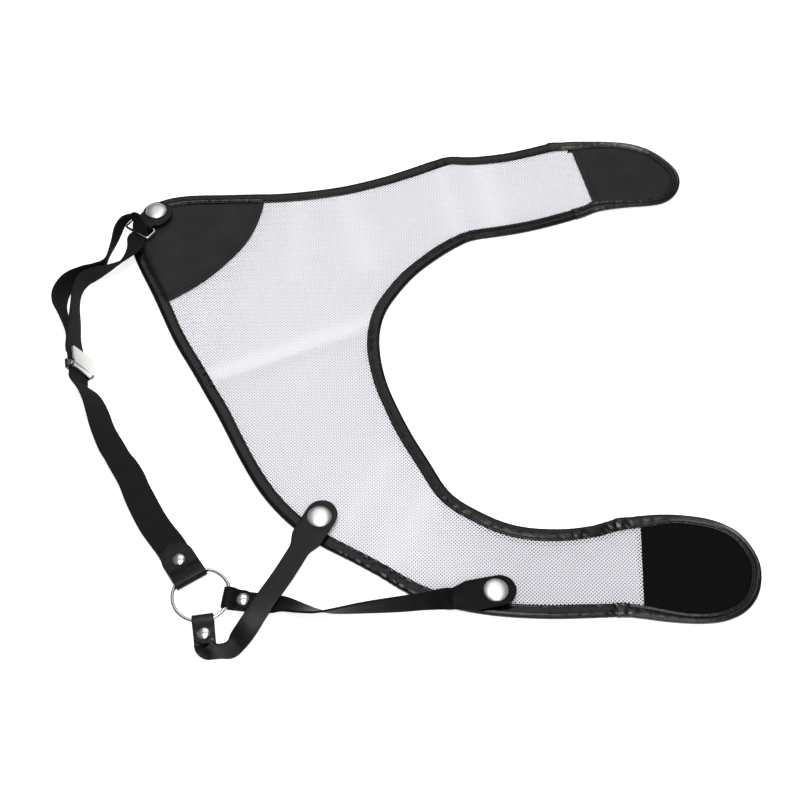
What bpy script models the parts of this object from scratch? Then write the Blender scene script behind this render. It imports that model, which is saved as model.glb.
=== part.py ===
"""Mesh chest guard with a clip-on strap harness, lying flat with its outer face up.

A C-shaped mesh panel is bound with folded leather and ends in two hook-and-loop tabs. A harness of
elastic and leather straps is clipped to it by three press studs. Metres, +Z up, z = 0 is the floor.
The drawing's own x, y zero is near the middle of the panel; FOOTPRINT_CENTRE moves the finished
part so that the middle of its footprint is the origin.
"""

import math

import bmesh
import bpy
import numpy as np
from mathutils import Matrix, Vector

# ---------------------------------------------------------------- driving sizes, in metres
GAP = 0.0003  # clearance between pieces that touch
FOOTPRINT_CENTRE = (-0.0076, 0.0249)

MESH_THICKNESS = 0.0012
BINDING_LEATHER = 0.0007
BINDING_WIDTH = 0.0085
TAB_BINDING_WIDTH = 0.0062  # round the end of a tab
TAB_BINDING_EASE = 0.030  # along which the binding narrows to that
BINDING_STEP = 0.007  # spacing of the binding's cross-sections
FACING_LEATHER = 0.0007  # corner patch and upper tab facing
HEM = 0.005  # how far the mesh reaches under a tab's facing
HEM_CLEARANCE = 0.0012  # between the mesh's end and the layer of a tab that lies level with it
UPPER_BINDING_DEPTH = 0.0027  # of the upper tab's binding, from its top to its underside
FOLD_AXIS_LIFT = 0.0001  # a tab folds about a line this far above its own top
HOOK_PAD_THICKNESS = 0.0022
LOOP_PAD_THICKNESS = 0.0010
BACKING_LEATHER = 0.0012

CAP_DIAMETER = 0.015
CAP_HEIGHT = 0.0021
SOCKET_DIAMETER = 0.0104
SOCKET_HEIGHT = 0.0019
SOCKET_PLATE = 0.0004
STUD_BASE_DIAMETER = 0.0096
STUD_BASE_THICKNESS = 0.0007
STUD_BALL_DIAMETER = 0.0054
STUD_BALL_HEIGHT = 0.0015
STUD_BALL_CROWN = 0.0008  # the ball's top above the post's
POST_DIAMETER = 0.0022
POST_FLANGE_DIAMETER = 0.0054
POST_FLANGE_THICKNESS = 0.0005
PRONG_DIAMETER = 0.0018

STRAP_LEATHER = 0.0014
STRAP_WIDTH = 0.013
PADDLE_WIDTH = 0.020
PADDLE_TIP = 0.0125  # from the press stud to the strap's end
PADDLE_LENGTH = 0.0150  # full width from the press stud back to here
PADDLE_NECK = 0.0115  # along which it narrows to the strap
ELASTIC_THICKNESS = 0.0012
ELASTIC_WIDTH = 0.019
RING_DIAMETER = 0.0368
RING_WIRE = 0.0024
RING_TAB_WIDTH = 0.0205
RING_TAB_LENGTH = 0.0215  # from the ring's wire to the tab's end
RING_TAB_RIVET = 0.0090  # and to its rivet
RIVET_HEAD_DIAMETER = 0.008
RIVET_HEAD_HEIGHT = 0.0013
RIVET_FLANGE_DIAMETER = 0.007
RIVET_FLANGE_THICKNESS = 0.0005
RIVET_TUBE_DIAMETER = 0.0036
RIVET_PIN_DIAMETER = 0.0018
RIVET_DISTANCE = 0.0068  # from the ring's wire to a strap's rivet
STRAP_FLAP = 0.0065  # from a strap's rivet to its flap's end
STRAP_STRAIGHT = (0.0222, 0.0262, 0.0300, 0.0322)  # rows that lie flat, from the ring's middle

CORNER_TAB_WIDTH = 0.021
CORNER_TAB_OFFSET = 0.0014  # the press stud sits this far from the tab's middle line
CORNER_FOLD_WIDTH = 0.0146
CORNER_TAB_TIP = 0.0102
LOOP_WIRE = 0.002
LOOP_DEPTH = 0.009  # between the rectangular loop's two long bars
LOOP_REACH = 0.0135  # from the corner press stud to the bar in the tab's fold
LOOP_WIDTH = 0.0205  # between the middles of its two short sides
LOOP_CORNER = 0.0020
LOOP_STRAP_SHIFT = 0.0022  # the elastic sits this far along the bar

ADJUSTER_PLATE = 0.0010
ADJUSTER_SIDE_PLAY = 0.0004
ADJUSTER_WALL = 0.0008
ADJUSTER_REACH = 0.0120  # from its pin to its plate's far end
ADJUSTER_CHANNEL = 0.0052  # and to its channel's
ADJUSTER_HEEL = 0.0022  # the channel starts this far before the pin
ADJUSTER_CLEARANCE = 0.0020  # between the pin and the strap's two faces
ADJUSTER_PIN_DIAMETER = 0.0018
ADJUSTER_BARREL_WALL = 0.0006
ADJUSTER_TILT = 62.0  # degrees that the strap is turned up on its edge there
ROUND_STEPS = 20
RIVET_STEPS = 16
HALF_TURN = [math.radians(a) for a in (90, 67, 45, 22, 0, -22, -45, -67, -90)]

# ---------------------------------------------------------------- outlines and places, in metres
CORNER_STUD = (-0.1757, 0.1603)
SHORT_STRAP_STUD = (-0.0496, -0.0930)
LONG_STRAP_STUD = (0.0570, -0.1432)
RING_CENTRE = (-0.1186, -0.1446)
RING_TAB_HEADING = 123.0  # degrees from +x
SHORT_STRAP_HEADING = -81.4
LONG_STRAP_HEADING = -6.8
CORNER_HEADING = 236.0
ADJUSTER_PIN_AT = (-0.2097, 0.0160, 0.0121)
ADJUSTER_HEADING = 102.0

# The panel's outer edge, from the upper tab round the corner and down to the lower tab.
OUTER_EDGE = [
    (0.1262, 0.2362), (0.1130, 0.2350), (0.0960, 0.2294), (0.0760, 0.2238), (0.0540, 0.2208),
    (0.0370, 0.2212), (0.0240, 0.2165), (0.0060, 0.2080), (-0.0180, 0.1980), (-0.0480, 0.1890),
    (-0.0820, 0.1838), (-0.1200, 0.1818), (-0.1500, 0.1810), (-0.1660, 0.1787), (-0.1780, 0.1736),
    (-0.1870, 0.1650), (-0.1920, 0.1530), (-0.1925, 0.1400), (-0.1895, 0.1260), (-0.1835, 0.1115),
    (-0.1710, 0.0860), (-0.1535, 0.0480), (-0.1400, 0.0240), (-0.1290, 0.0040), (-0.1180, -0.0160),
    (-0.1020, -0.0480), (-0.0900, -0.0690), (-0.0780, -0.0850), (-0.0640, -0.0990),
    (-0.0480, -0.1105), (-0.0300, -0.1206), (-0.0140, -0.1303), (0.0000, -0.1397),
    (0.0120, -0.1462), (0.0300, -0.1520), (0.0560, -0.1570), (0.0880, -0.1590), (0.1200, -0.1582),
    (0.1330, -0.1578), (0.1440, -0.1590),
]
# The armhole edge, from the lower tab back round to the upper tab.
ARMHOLE_EDGE = [
    (0.1475, -0.0892), (0.1330, -0.0915), (0.1180, -0.0962), (0.1000, -0.0985), (0.0800, -0.0976),
    (0.0640, -0.0935), (0.0480, -0.0852), (0.0360, -0.0768), (0.0280, -0.0672), (0.0190, -0.0500),
    (0.0080, -0.0290), (-0.0020, -0.0060), (-0.0090, 0.0140), (-0.0130, 0.0350), (-0.0135, 0.0540),
    (-0.0098, 0.0720), (-0.0010, 0.0890), (0.0120, 0.1070), (0.0300, 0.1240), (0.0450, 0.1350),
    (0.0545, 0.1392), (0.0680, 0.1418), (0.0880, 0.1460), (0.1080, 0.1520), (0.1280, 0.1592),
    (0.1420, 0.1650),
]
UPPER_TAB_EDGE = [
    (0.1420, 0.1650), (0.1540, 0.1676), (0.1680, 0.1696), (0.1810, 0.1708), (0.1910, 0.1730),
    (0.1985, 0.1778), (0.2038, 0.1850), (0.2066, 0.1945), (0.2058, 0.2042), (0.2010, 0.2132),
    (0.1930, 0.2226), (0.1835, 0.2296), (0.1710, 0.2342), (0.1550, 0.2358), (0.1400, 0.2360),
    (0.1262, 0.2362),
]
LOWER_TAB_EDGE = [
    (0.1440, -0.1590), (0.1600, -0.1612), (0.1780, -0.1622), (0.1930, -0.1604), (0.2060, -0.1540),
    (0.2150, -0.1424), (0.2186, -0.1260), (0.2155, -0.1120), (0.2070, -0.0996), (0.1930, -0.0920),
    (0.1760, -0.0888), (0.1600, -0.0882), (0.1475, -0.0892),
]
PATCH_ARC = [(-0.0990, 0.1810), (-0.1005, 0.1640), (-0.1075, 0.1400), (-0.1210, 0.1180),
             (-0.1400, 0.0970), (-0.1670, 0.0760)]

# A strap's route: x, y, z of its middle, then the heading and the tilt, in degrees, of the line
# across its width.
SHORT_STRAP_ROUTE = [
    (-0.1122, -0.1804, 0.0050, 22, 42), (-0.1092, -0.1828, 0.0067, 52, 68),
    (-0.1045, -0.1834, 0.0070, 80, 78), (-0.0985, -0.1808, 0.0068, 115, 62),
    (-0.0938, -0.1745, 0.0060, 135, 38), (-0.0893, -0.1665, 0.0056, 148, 16),
    (-0.0845, -0.1578, 0.0064, 150, 4), (-0.0775, -0.1458, 0.0072, 150, 0),
    (-0.0700, -0.1328, 0.0068, 152, 0),
]
LONG_STRAP_ROUTE = [
    (-0.0838, -0.1490, 0.0016, 83, -3), (-0.0765, -0.1497, 0.0021, 85, -10),
    (-0.0690, -0.1505, 0.0035, 88, -24), (-0.0600, -0.1535, 0.0050, 90, -38),
    (-0.0500, -0.1562, 0.0062, 92, -55), (-0.0400, -0.1566, 0.0068, 92, -73),
    (-0.0200, -0.1543, 0.0070, 95, -93), (0.0000, -0.1521, 0.0069, 96, -107),
    (0.0150, -0.1506, 0.0078, 95, -116), (0.0260, -0.1494, 0.0084, 97, -138),
]
# The elastic's rows hold its width too: it is gathered where it passes the wire loop.
ELASTIC_RUN = [
    (-0.1505, -0.0975, 0.0023, 31, -4, 0.019), (-0.1570, -0.0870, 0.0024, 28, -8, 0.019),
    (-0.1630, -0.0760, 0.0034, 24, -15, 0.019), (-0.1663, -0.0695, 0.0046, 24, -22, 0.019),
    (-0.1697, -0.0625, 0.0043, 25, -19, 0.019), (-0.1740, -0.0555, 0.0044, 27, -20, 0.019),
    (-0.1792, -0.0482, 0.0056, 29, -28, 0.019), (-0.1840, -0.0405, 0.0056, 30, -28, 0.019),
    (-0.1910, -0.0275, 0.0070, 31, -38, 0.019), (-0.1958, -0.0155, 0.0077, 30, -43, 0.019),
    (-0.1993, -0.0075, 0.0084, 31, -48, 0.019), (-0.2035, -0.0010, 0.0096, 30, -54, 0.019),
]
ELASTIC_RETURN = [
    (-0.2187, 0.0460, 0.0103, 8, -74, 0.019), (-0.2203, 0.0620, 0.0102, 5, -80, 0.019),
    (-0.2220, 0.0780, 0.0102, -4, -87, 0.019), (-0.2210, 0.0895, 0.0102, -30, -92, 0.019),
    (-0.2168, 0.0965, 0.0101, -52, -98, 0.019), (-0.2110, 0.1002, 0.0100, -60, -104, 0.019),
    (-0.2047, 0.1039, 0.0096, -58, -114, 0.0185), (-0.1970, 0.1108, 0.0084, -52, -125, 0.0165),
    (-0.1913, 0.1200, 0.0067, -42, -142, 0.015), (-0.1876, 0.1293, 0.0058, -36, -166, 0.0135),
]
ELASTIC_EAR = [
    (-0.1853, 0.1436, 0.0095, -34, -178, 0.013), (-0.1871, 0.1468, 0.0133, -25, -145, 0.013),
    (-0.1912, 0.1491, 0.0150, -40, -124, 0.013), (-0.1969, 0.1446, 0.0142, -68, -100, 0.0135),
    (-0.2006, 0.1355, 0.0121, -30, -94, 0.017), (-0.2037, 0.1216, 0.0110, -5, -106, 0.019),
    (-0.2060, 0.1096, 0.0108, -64, -117, 0.019), (-0.2127, 0.1030, 0.0107, -60, -105, 0.019),
    (-0.2200, 0.0990, 0.0107, -55, -99, 0.019), (-0.2293, 0.0910, 0.0107, -40, -93, 0.019),
    (-0.2330, 0.0795, 0.0107, -3, -90, 0.019), (-0.2315, 0.0690, 0.0107, 5, -87, 0.019),
    (-0.2258, 0.0575, 0.0106, 10, -80, 0.019), (-0.2200, 0.0435, 0.0104, 11, -75, 0.019),
]


# ---------------------------------------------------------------- curves
def smooth(points, per_span, closed=False):
    """A Catmull-Rom curve through the points, per_span steps between each pair."""
    p = np.array(points, float)
    ends = (2 * p[:1] - p[1:2], 2 * p[-1:] - p[-2:-1], p[:0])
    if closed:
        ends = (p[-1:], p[:1], p[1:2])
    p = np.concatenate([ends[0], p, ends[1], ends[2]])
    t = np.linspace(0, 1, per_span, endpoint=False)[:, None]
    spans = []
    for a, b, c, d in zip(p[:-3], p[1:-2], p[2:-1], p[3:]):
        spans.append(0.5 * (2 * b + (c - a) * t + (2 * a - 5 * b + 4 * c - d) * t**2
                            + (3 * b - a - 3 * c + d) * t**3))
    out = np.concatenate(spans)
    return out if closed else np.vstack([out, p[-2]])


def spaced(line, step):
    """The line again, with points about step apart."""
    along = np.concatenate([[0], np.cumsum(np.linalg.norm(np.diff(line, axis=0), axis=1))])
    at = np.linspace(0, along[-1], max(3, round(along[-1] / step) + 1))
    return np.stack([np.interp(at, along, line[:, k]) for k in range(line.shape[1])], axis=1)


def unit(v):
    v = np.asarray(v, float)
    return v / np.linalg.norm(v, axis=-1, keepdims=True)


def heading(degrees):
    return np.array([math.cos(math.radians(degrees)), math.sin(math.radians(degrees))])


def inward_of(line):
    """Unit vectors to the left of a plane line's direction, which is the panel's side."""
    d = unit(np.gradient(line, axis=0))
    return np.stack([-d[:, 1], d[:, 0]], axis=1)


def edge_line(points, step=BINDING_STEP):
    return spaced(smooth(points, 12), step)


def edge_frames(points, shift):
    """Stations along one edge and the way into the panel at each. Both end stations lie in the
    seam's own direction and are moved along the edge by shift, away from the seam."""
    line = edge_line(points)
    inward = inward_of(line)
    for at, near in ((0, 1), (-1, -2)):
        along = unit(np.array(SEAM_OF[points[at]]) - line[at])
        inward[at] = along / max(0.2, float(along @ inward[at]))
        line[at] = line[at] + shift * unit(line[near] - line[at])
    return line, inward


SEAM_OF = {OUTER_EDGE[0]: ARMHOLE_EDGE[-1], ARMHOLE_EDGE[-1]: OUTER_EDGE[0],
           OUTER_EDGE[-1]: ARMHOLE_EDGE[0], ARMHOLE_EDGE[0]: OUTER_EDGE[-1]}

# ---------------------------------------------------------------- heights worked out from the sizes
PANEL_LOW = BINDING_LEATHER + GAP
PANEL_TOP = PANEL_LOW + MESH_THICKNESS
FACING_LOW = PANEL_TOP + GAP
FACING_TOP = FACING_LOW + FACING_LEATHER
BINDING_TOP = PANEL_TOP + GAP + BINDING_LEATHER
UPPER_BINDING_TOP = FACING_TOP + GAP + BINDING_LEATHER
BINDING_INSET = BINDING_LEATHER + GAP
STRAP_LOW = RIVET_FLANGE_THICKNESS + GAP + STRAP_LEATHER / 2
RING_HEIGHT = STRAP_LOW + STRAP_LEATHER / 2 + GAP + RING_WIRE / 2
SOCKET_LIFT = STUD_BASE_THICKNESS + GAP
PADDLE_LIFT = SOCKET_LIFT + SOCKET_HEIGHT + GAP
CAP_LIFT = PADDLE_LIFT + STRAP_LEATHER + GAP
RING_RADIUS = (RING_DIAMETER - RING_WIRE) / 2


# ---------------------------------------------------------------- building blocks
def material(name, colour, roughness, metallic=0.0):
    found = bpy.data.materials.get(name)
    if found:
        return found
    made = bpy.data.materials.new(name)
    made.use_nodes = True
    shader = made.node_tree.nodes["Principled BSDF"]
    shader.inputs["Base Color"].default_value = (*colour, 1)
    shader.inputs["Roughness"].default_value = roughness
    shader.inputs["Metallic"].default_value = metallic
    return made


def white_mesh():
    return material("white_mesh", (0.80, 0.79, 0.84), 0.7)


def black_leather():
    return material("black_leather", (0.025, 0.025, 0.026), 0.45)


def black_binding():
    return material("black_binding", (0.02, 0.018, 0.018), 0.3)


def black_elastic():
    return material("black_elastic", (0.018, 0.017, 0.018), 0.85)


def hook_and_loop():
    return material("hook_and_loop", (0.008, 0.008, 0.008), 0.95)


def satin_nickel():
    return material("satin_nickel", (0.66, 0.64, 0.61), 0.3, 1.0)


DRAWN_AT = {}


def empty(name, parent, location):
    """An empty on a joint's axis, placed in the drawing's coordinates."""
    made = bpy.data.objects.new(name, None)
    made.empty_display_size = 0.01
    bpy.context.scene.collection.objects.link(made)
    made.parent = parent
    DRAWN_AT[name] = Matrix.Translation(Vector(location))
    made.location = Vector(location)
    if parent:
        made.location -= DRAWN_AT[parent.name].translation
    return made


def add(name, vertices, faces, look, parent, drawn=Matrix()):
    """One closed piece. Its vertices are in the drawing's coordinates, or in those of drawn."""
    mesh = bpy.data.meshes.new(name)
    corners = [tuple(map(float, v)) for v in vertices]
    mesh.from_pydata(corners, [], [tuple(map(int, f)) for f in faces])
    mesh.transform(DRAWN_AT[parent.name].inverted() @ drawn)
    work = bmesh.new()
    work.from_mesh(mesh)
    bmesh.ops.recalc_face_normals(work, faces=work.faces)
    work.to_mesh(mesh)
    work.free()
    made = bpy.data.objects.new(name, mesh)
    bpy.context.scene.collection.objects.link(made)
    made.parent = parent
    if look:
        mesh.materials.append(look)
        mesh.shade_smooth()
        mesh.set_sharp_from_angle(angle=math.radians(35))
    return made


def cut(piece, vertices, faces, parent, operation="DIFFERENCE", drawn=Matrix()):
    """Cuts a closed shape out of a piece, or joins it on, with an exact Boolean."""
    tool = add(f"{piece.name}_tool", vertices, faces, None, parent, drawn)
    tool.hide_render = True
    tool.display_type = "WIRE"
    step = piece.modifiers.new(tool.name, "BOOLEAN")
    step.operation = operation
    step.object = tool
    step.solver = "EXACT"


def prism(outline, low, high):
    """A flat outline carried straight up from low to high."""
    n = len(outline)
    outline = np.asarray(outline, float)
    vertices = [(x, y, z) for z in (low, high) for x, y in outline]
    faces = [tuple(range(n - 1, -1, -1)), tuple(range(n, 2 * n))]
    faces += [(i, (i + 1) % n, n + (i + 1) % n, n + i) for i in range(n)]
    return vertices, faces


def turned(profile, centre, steps=ROUND_STEPS):
    """A profile of (radius, z) turned about the upright line through centre. Points on the line
    itself have radius 0, and the profile starts and ends on it or closes on itself."""
    vertices, rings = [], []
    for r, z in profile:
        if r == 0:
            rings.append([len(vertices)] * steps)
            vertices.append((centre[0], centre[1], z))
            continue
        rings.append(list(range(len(vertices), len(vertices) + steps)))
        for k in range(steps):
            a = 2 * math.pi * k / steps
            vertices.append((centre[0] + r * math.cos(a), centre[1] + r * math.sin(a), z))
    loop = list(zip(rings[:-1], rings[1:]))
    if profile[0][0] > 0:
        loop.append((rings[-1], rings[0]))
    faces = []
    for a, b in loop:
        for k in range(steps):
            j = (k + 1) % steps
            face = [a[k], a[j], b[j], b[k]]
            faces.append(tuple(dict.fromkeys(face)))
    return vertices, [f for f in faces if len(f) > 2]


def swept(rings):
    """Skins a list of equal closed rings of points and closes both ends."""
    count, n = len(rings), len(rings[0])
    vertices = np.concatenate(rings)
    faces = [tuple(range(n)), tuple(range((count - 1) * n, count * n))]
    for i in range(count - 1):
        for k in range(n):
            j = (k + 1) % n
            faces.append((i * n + k, i * n + j, (i + 1) * n + j, (i + 1) * n + k))
    return vertices, faces


def ribbon(centres, across, widths, thickness):
    """A flat strap: a rectangle carried along its centres, its width along across."""
    centres = np.asarray(centres, float)
    along = unit(np.gradient(centres, axis=0))
    across = np.asarray(across, float)
    across = unit(across - (across * along).sum(1, keepdims=True) * along)
    face = np.cross(along, across)
    rings = []
    for c, a, f, w in zip(centres, across, face, widths):
        half, up = a * w / 2, f * thickness / 2
        rings.append(np.array([c - half - up, c + half - up, c + half + up, c - half + up]))
    return swept(rings)


def directions(headings, tilts):
    """Unit vectors from headings and tilts in degrees."""
    h, t = np.radians(headings), np.radians(tilts)
    return np.stack([np.cos(h) * np.cos(t), np.sin(h) * np.cos(t), np.sin(t)], axis=1)


# ---------------------------------------------------------------- straps
def with_directions(rows):
    """Rows with the heading and tilt of their width's line turned into a unit vector."""
    rows = np.array([tuple(r) for r in rows], float)
    return np.hstack([rows[:, :3], directions(rows[:, 3], rows[:, 4]), rows[:, 5:]])


def strap(name, rows, widths, thickness, look, parent):
    """A strap along rows of a middle point and the direction of its width."""
    return add(name, *ribbon(rows[:, :3], rows[:, 3:6], widths, thickness), look, parent)


def rows_out_from(centre, degrees, side, profile):
    """Rows along a heading from a centre, from (distance, height) pairs. Side is +1 where the
    width's line points to the left of the heading and -1 where it points to the right."""
    d = heading(degrees)
    return [(centre[0] + s * d[0], centre[1] + s * d[1], z, degrees + 90 * side, 0)
            for s, z in profile]


def round_tip(tip, width, outward=1):
    """(distance, width) pairs of a half-round end whose tip is at the distance tip."""
    radius = width / 2
    angles = np.radians([14, 32, 52, 72, 90])
    return [(tip - outward * radius * (1 - math.cos(a)), width * math.sin(a)) for a in angles]


def turn_over(bend, low, wire_z):
    """The half circle a strap makes round the ring's wire, from its top side to its bottom side."""
    r = wire_z - low
    return [(bend - r * math.cos(a), wire_z + r * math.sin(a)) for a in HALF_TURN]


def ring_wrap(width, tip, flap_height):
    """A strap's end folded round the ring: its (distance, height) pairs from the flap's tip over the
    wire, round it and back out underneath, with the width at each."""
    slant = math.sqrt(1 - (width / 2 / RING_RADIUS) ** 2)
    bend = RING_RADIUS * slant - RING_WIRE / 2 * (1 / slant - 1) - 0.0001
    clear = RING_RADIUS + RING_WIRE / 2 + GAP
    top = 2 * RING_HEIGHT - STRAP_LOW
    fall = (top - flap_height) * 0.8
    flap = [(s, flap_height, w) for s, w in round_tip(tip, width)]
    flap += [(clear + 0.0004 + 0.8 * fall, flap_height, width),
             (clear + 0.0003 + 0.42 * fall, (top + flap_height) / 2, width)]
    over = [(s, z, width) for s, z in [(clear, top), *turn_over(bend, STRAP_LOW, RING_HEIGHT)]]
    return flap + over + [(clear, STRAP_LOW, width)]


def paddle(stud, degrees, height, twist, leaning):
    """The widened end of a strap: rows from its neck to its tip, past the press stud, and widths.
    Across its neck it turns flat, to the tilt twist, from most of the tilt leaning."""
    neck, widening = -PADDLE_LENGTH - PADDLE_NECK, PADDLE_WIDTH - STRAP_WIDTH
    pairs = [(neck + share * PADDLE_NECK, STRAP_WIDTH + rise * widening, lean)
             for share, rise, lean in ((0, 0, 0.42), (0.35, 0.22, 0.16), (0.7, 0.75, 0.03), (1, 1, 0))]
    pairs.append((-PADDLE_LENGTH / 2, PADDLE_WIDTH, 0))
    pairs += [(s, w, 0) for s, w in round_tip(PADDLE_TIP, PADDLE_WIDTH)[::-1]]
    rows = rows_out_from(stud, degrees, 1, [(s, height) for s, _, _ in pairs])
    rows = [(*row[:4], twist + lean * (leaning - twist)) for row, (_, _, lean) in zip(rows, pairs)]
    return rows, [w for _, w, _ in pairs]


def ring_strap(name, degrees, route, stud, base, parent, twist):
    """A leather strap from the ring to one press stud, both its ends in place."""
    tip = RING_RADIUS + RING_WIRE / 2 + RIVET_DISTANCE + STRAP_FLAP
    wrap = ring_wrap(STRAP_WIDTH, tip, FLAP_HEIGHT)
    start = rows_out_from(RING_CENTRE, degrees, 1, [(s, z) for s, z, _ in wrap])
    before = np.array(route[-1][:2])
    last = math.degrees(math.atan2(*(np.array(stud) - before)[::-1]))
    end, end_widths = paddle(stud, last, base + PADDLE_LIFT + STRAP_LEATHER / 2, twist, route[-1][4])
    out = rows_out_from(RING_CENTRE, degrees, 1, [(s, STRAP_LOW) for s in STRAP_STRAIGHT])
    middle = smooth(with_directions(out + route + end[:2]), 4)[:-5]
    rows = np.vstack([with_directions(start), middle, with_directions(end)])
    widths = [w for _, _, w in wrap] + [STRAP_WIDTH] * len(middle) + end_widths
    return strap(name, rows, widths, STRAP_LEATHER, black_leather(), parent)


# ---------------------------------------------------------------- heights worked out for straps
FLAP_HEIGHT = STRAP_LOW + STRAP_LEATHER + GAP
ELASTIC_LOW = STRAP_LOW + STRAP_LEATHER / 2 + GAP + ELASTIC_THICKNESS / 2
TAB_FLAP_HEIGHT = ELASTIC_LOW + ELASTIC_THICKNESS / 2 + GAP + STRAP_LEATHER / 2
ADJUSTER_PIN_HEIGHT = ELASTIC_THICKNESS + 2 * GAP + ADJUSTER_CLEARANCE
STRAP_UNDER_PIN = ADJUSTER_PIN_HEIGHT - GAP - ELASTIC_THICKNESS / 2
ADJUSTER_INSIDE = ELASTIC_WIDTH / 2 + ADJUSTER_SIDE_PLAY
BAR_HEIGHT = BINDING_TOP + GAP + STRAP_LEATHER + GAP + LOOP_WIRE / 2
TAB_TURN = LOOP_WIRE / 2 + GAP + STRAP_LEATHER / 2
ELASTIC_TURN = LOOP_WIRE / 2 + 1.6 * GAP + ELASTIC_THICKNESS / 2


def adjuster_axes():
    """The adjuster's own frame at its pin: x across the strap, y along it, z out of its face."""
    across = directions([ADJUSTER_HEADING - 90], [-ADJUSTER_TILT])[0]
    along = np.array([*heading(ADJUSTER_HEADING), 0])
    return across, along, np.cross(across, along)


def bars():
    """Centres of the rectangular loop's two long bars, in the tab's fold and in the elastic's."""
    d = heading(CORNER_HEADING)
    back = np.array(CORNER_STUD) + LOOP_REACH * d
    return (*back, BAR_HEIGHT), (*(back + LOOP_DEPTH * d), BAR_HEIGHT)


# ---------------------------------------------------------------- guard
def panel_line(points):
    return edge_frames(points, GAP / 2)


def tail(end, inward, out):
    """Where the mesh runs on under a tab: two corners from one side of the seam."""
    base = end + inward * (BINDING_WIDTH + 0.0020)
    return [base, base + out * (HEM + GAP / 2)]


def seam_out(a, b):
    """The unit vector from the panel into a tab, square to the seam from a to b, a on its left."""
    d = unit(np.array(b) - np.array(a))
    return np.array([-d[1], d[0]])


UPPER_OUT = seam_out(OUTER_EDGE[0], ARMHOLE_EDGE[-1])
LOWER_OUT = seam_out(ARMHOLE_EDGE[0], OUTER_EDGE[-1])


def panel_outline():
    outer, outer_in = panel_line(OUTER_EDGE)
    arm, arm_in = panel_line(ARMHOLE_EDGE)
    rows = list(outer + outer_in * BINDING_INSET)
    rows += tail(outer[-1], outer_in[-1], LOWER_OUT)
    rows += tail(arm[0], arm_in[0], LOWER_OUT)[::-1]
    rows += list(arm + arm_in * BINDING_INSET)
    rows += tail(arm[-1], arm_in[-1], UPPER_OUT)
    rows += tail(outer[0], outer_in[0], UPPER_OUT)[::-1]
    return rows


def binding_widths(line, tab):
    """The binding's width along a line: even on the panel, narrower round the end of a tab."""
    along = np.concatenate([[0], np.cumsum(np.linalg.norm(np.diff(line, axis=0), axis=1))])
    share = np.clip(np.minimum(along, along[-1] - along) / TAB_BINDING_EASE, 0, 1)
    return BINDING_WIDTH - tab * (BINDING_WIDTH - TAB_BINDING_WIDTH) * share * share * (3 - 2 * share)


def binding(name, points, low, high, parent, tab=False):
    """Folded leather along one edge: a U-shaped section with its mouth to the panel."""
    line, inward = edge_frames(points, GAP / 2)
    t, bevel = BINDING_LEATHER, 0.0005
    rings = []
    for p, i, w in zip(line, inward, binding_widths(line, tab)):
        section = [(bevel, low), (0, low + bevel), (0, high - bevel), (bevel, high), (w, high),
                   (w, high - t), (t, high - t), (t, low + t), (w, low + t), (w, low)]
        rings.append(np.array([(*(p + d * i), z) for d, z in section]))
    return add(name, *swept(rings), black_binding(), parent)


def inset(points, depth=None, start=0.0, out=None):
    """A tab's outline moved inward by depth, or clear of its binding, and begun at the distance
    start from the seam."""
    line, inward = edge_frames(points, GAP / 2)
    depth = depth or (binding_widths(line, True) + GAP)[:, None]
    rows = line + inward * depth
    if start:
        seam = np.array(points[0])
        far = (rows - seam) @ out
        keep = np.flatnonzero(far > start)
        rows = rows[keep[0] - 1: keep[-1] + 2].copy()
        far = far[keep[0] - 1: keep[-1] + 2]
        for at, near in ((0, 1), (-1, -2)):
            share = (start - far[at]) / (far[near] - far[at])
            rows[at] += share * (rows[near] - rows[at])
    return rows


def build_guard(root):
    mesh = add("mesh_panel", *prism(panel_outline(), PANEL_LOW, PANEL_TOP), white_mesh(), root)
    binding("outer_edge_binding", OUTER_EDGE, 0, BINDING_TOP, root)
    binding("armhole_binding", ARMHOLE_EDGE, 0, BINDING_TOP, root)
    line, inward = edge_frames(OUTER_EDGE, GAP / 2)
    side = line + inward * (BINDING_WIDTH + GAP)
    arc = spaced(smooth(PATCH_ARC, 6), BINDING_STEP)
    first, last = [int(np.argmin(np.linalg.norm(side - end, axis=1)))
                   for end in (arc[0], arc[-1])]
    edge = side[first: last + 1]
    reach = np.array([np.linalg.norm(line - p, axis=1).min() for p in arc])
    arc = arc[reach > BINDING_WIDTH + 0.002]
    outline = list(edge) + list(arc[::-1])
    patch = add("corner_patch", *prism(outline, FACING_LOW, FACING_TOP), black_leather(), root)
    for name, at, base, through in STUDS:
        r, t = STUD_BALL_DIAMETER / 2, base + STUD_BASE_THICKNESS
        ball = base + STUD_BASE_THICKNESS + STUD_BALL_HEIGHT
        bore = POST_DIAMETER / 2 + GAP
        post_top = ball - STUD_BALL_CROWN
        profile = [(0, post_top + GAP), (bore, post_top + GAP), (bore, base),
                   (STUD_BASE_DIAMETER / 2, base), (STUD_BASE_DIAMETER / 2, t), (r - 0.0003, t),
                   (r, ball - 0.0007), (r - 0.0006, ball), (0, ball)]
        add(f"{name}_stud", *turned(profile, at), satin_nickel(), root)
        foot, flange, shank = PANEL_LOW - GAP, POST_FLANGE_DIAMETER / 2, POST_DIAMETER / 2
        under = foot - POST_FLANGE_THICKNESS
        profile = [(0, under), (flange, under), (flange, foot), (shank, foot), (shank, post_top),
                   (0, post_top)]
        add(f"{name}_post", *turned(profile, at), satin_nickel(), root)
        hole = turned([(0, -0.001), (bore + GAP, -0.001), (bore + GAP, 0.01), (0, 0.01)], at)
        cut(mesh, *hole, root)
        if through:
            cut(patch, *hole, root)


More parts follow.
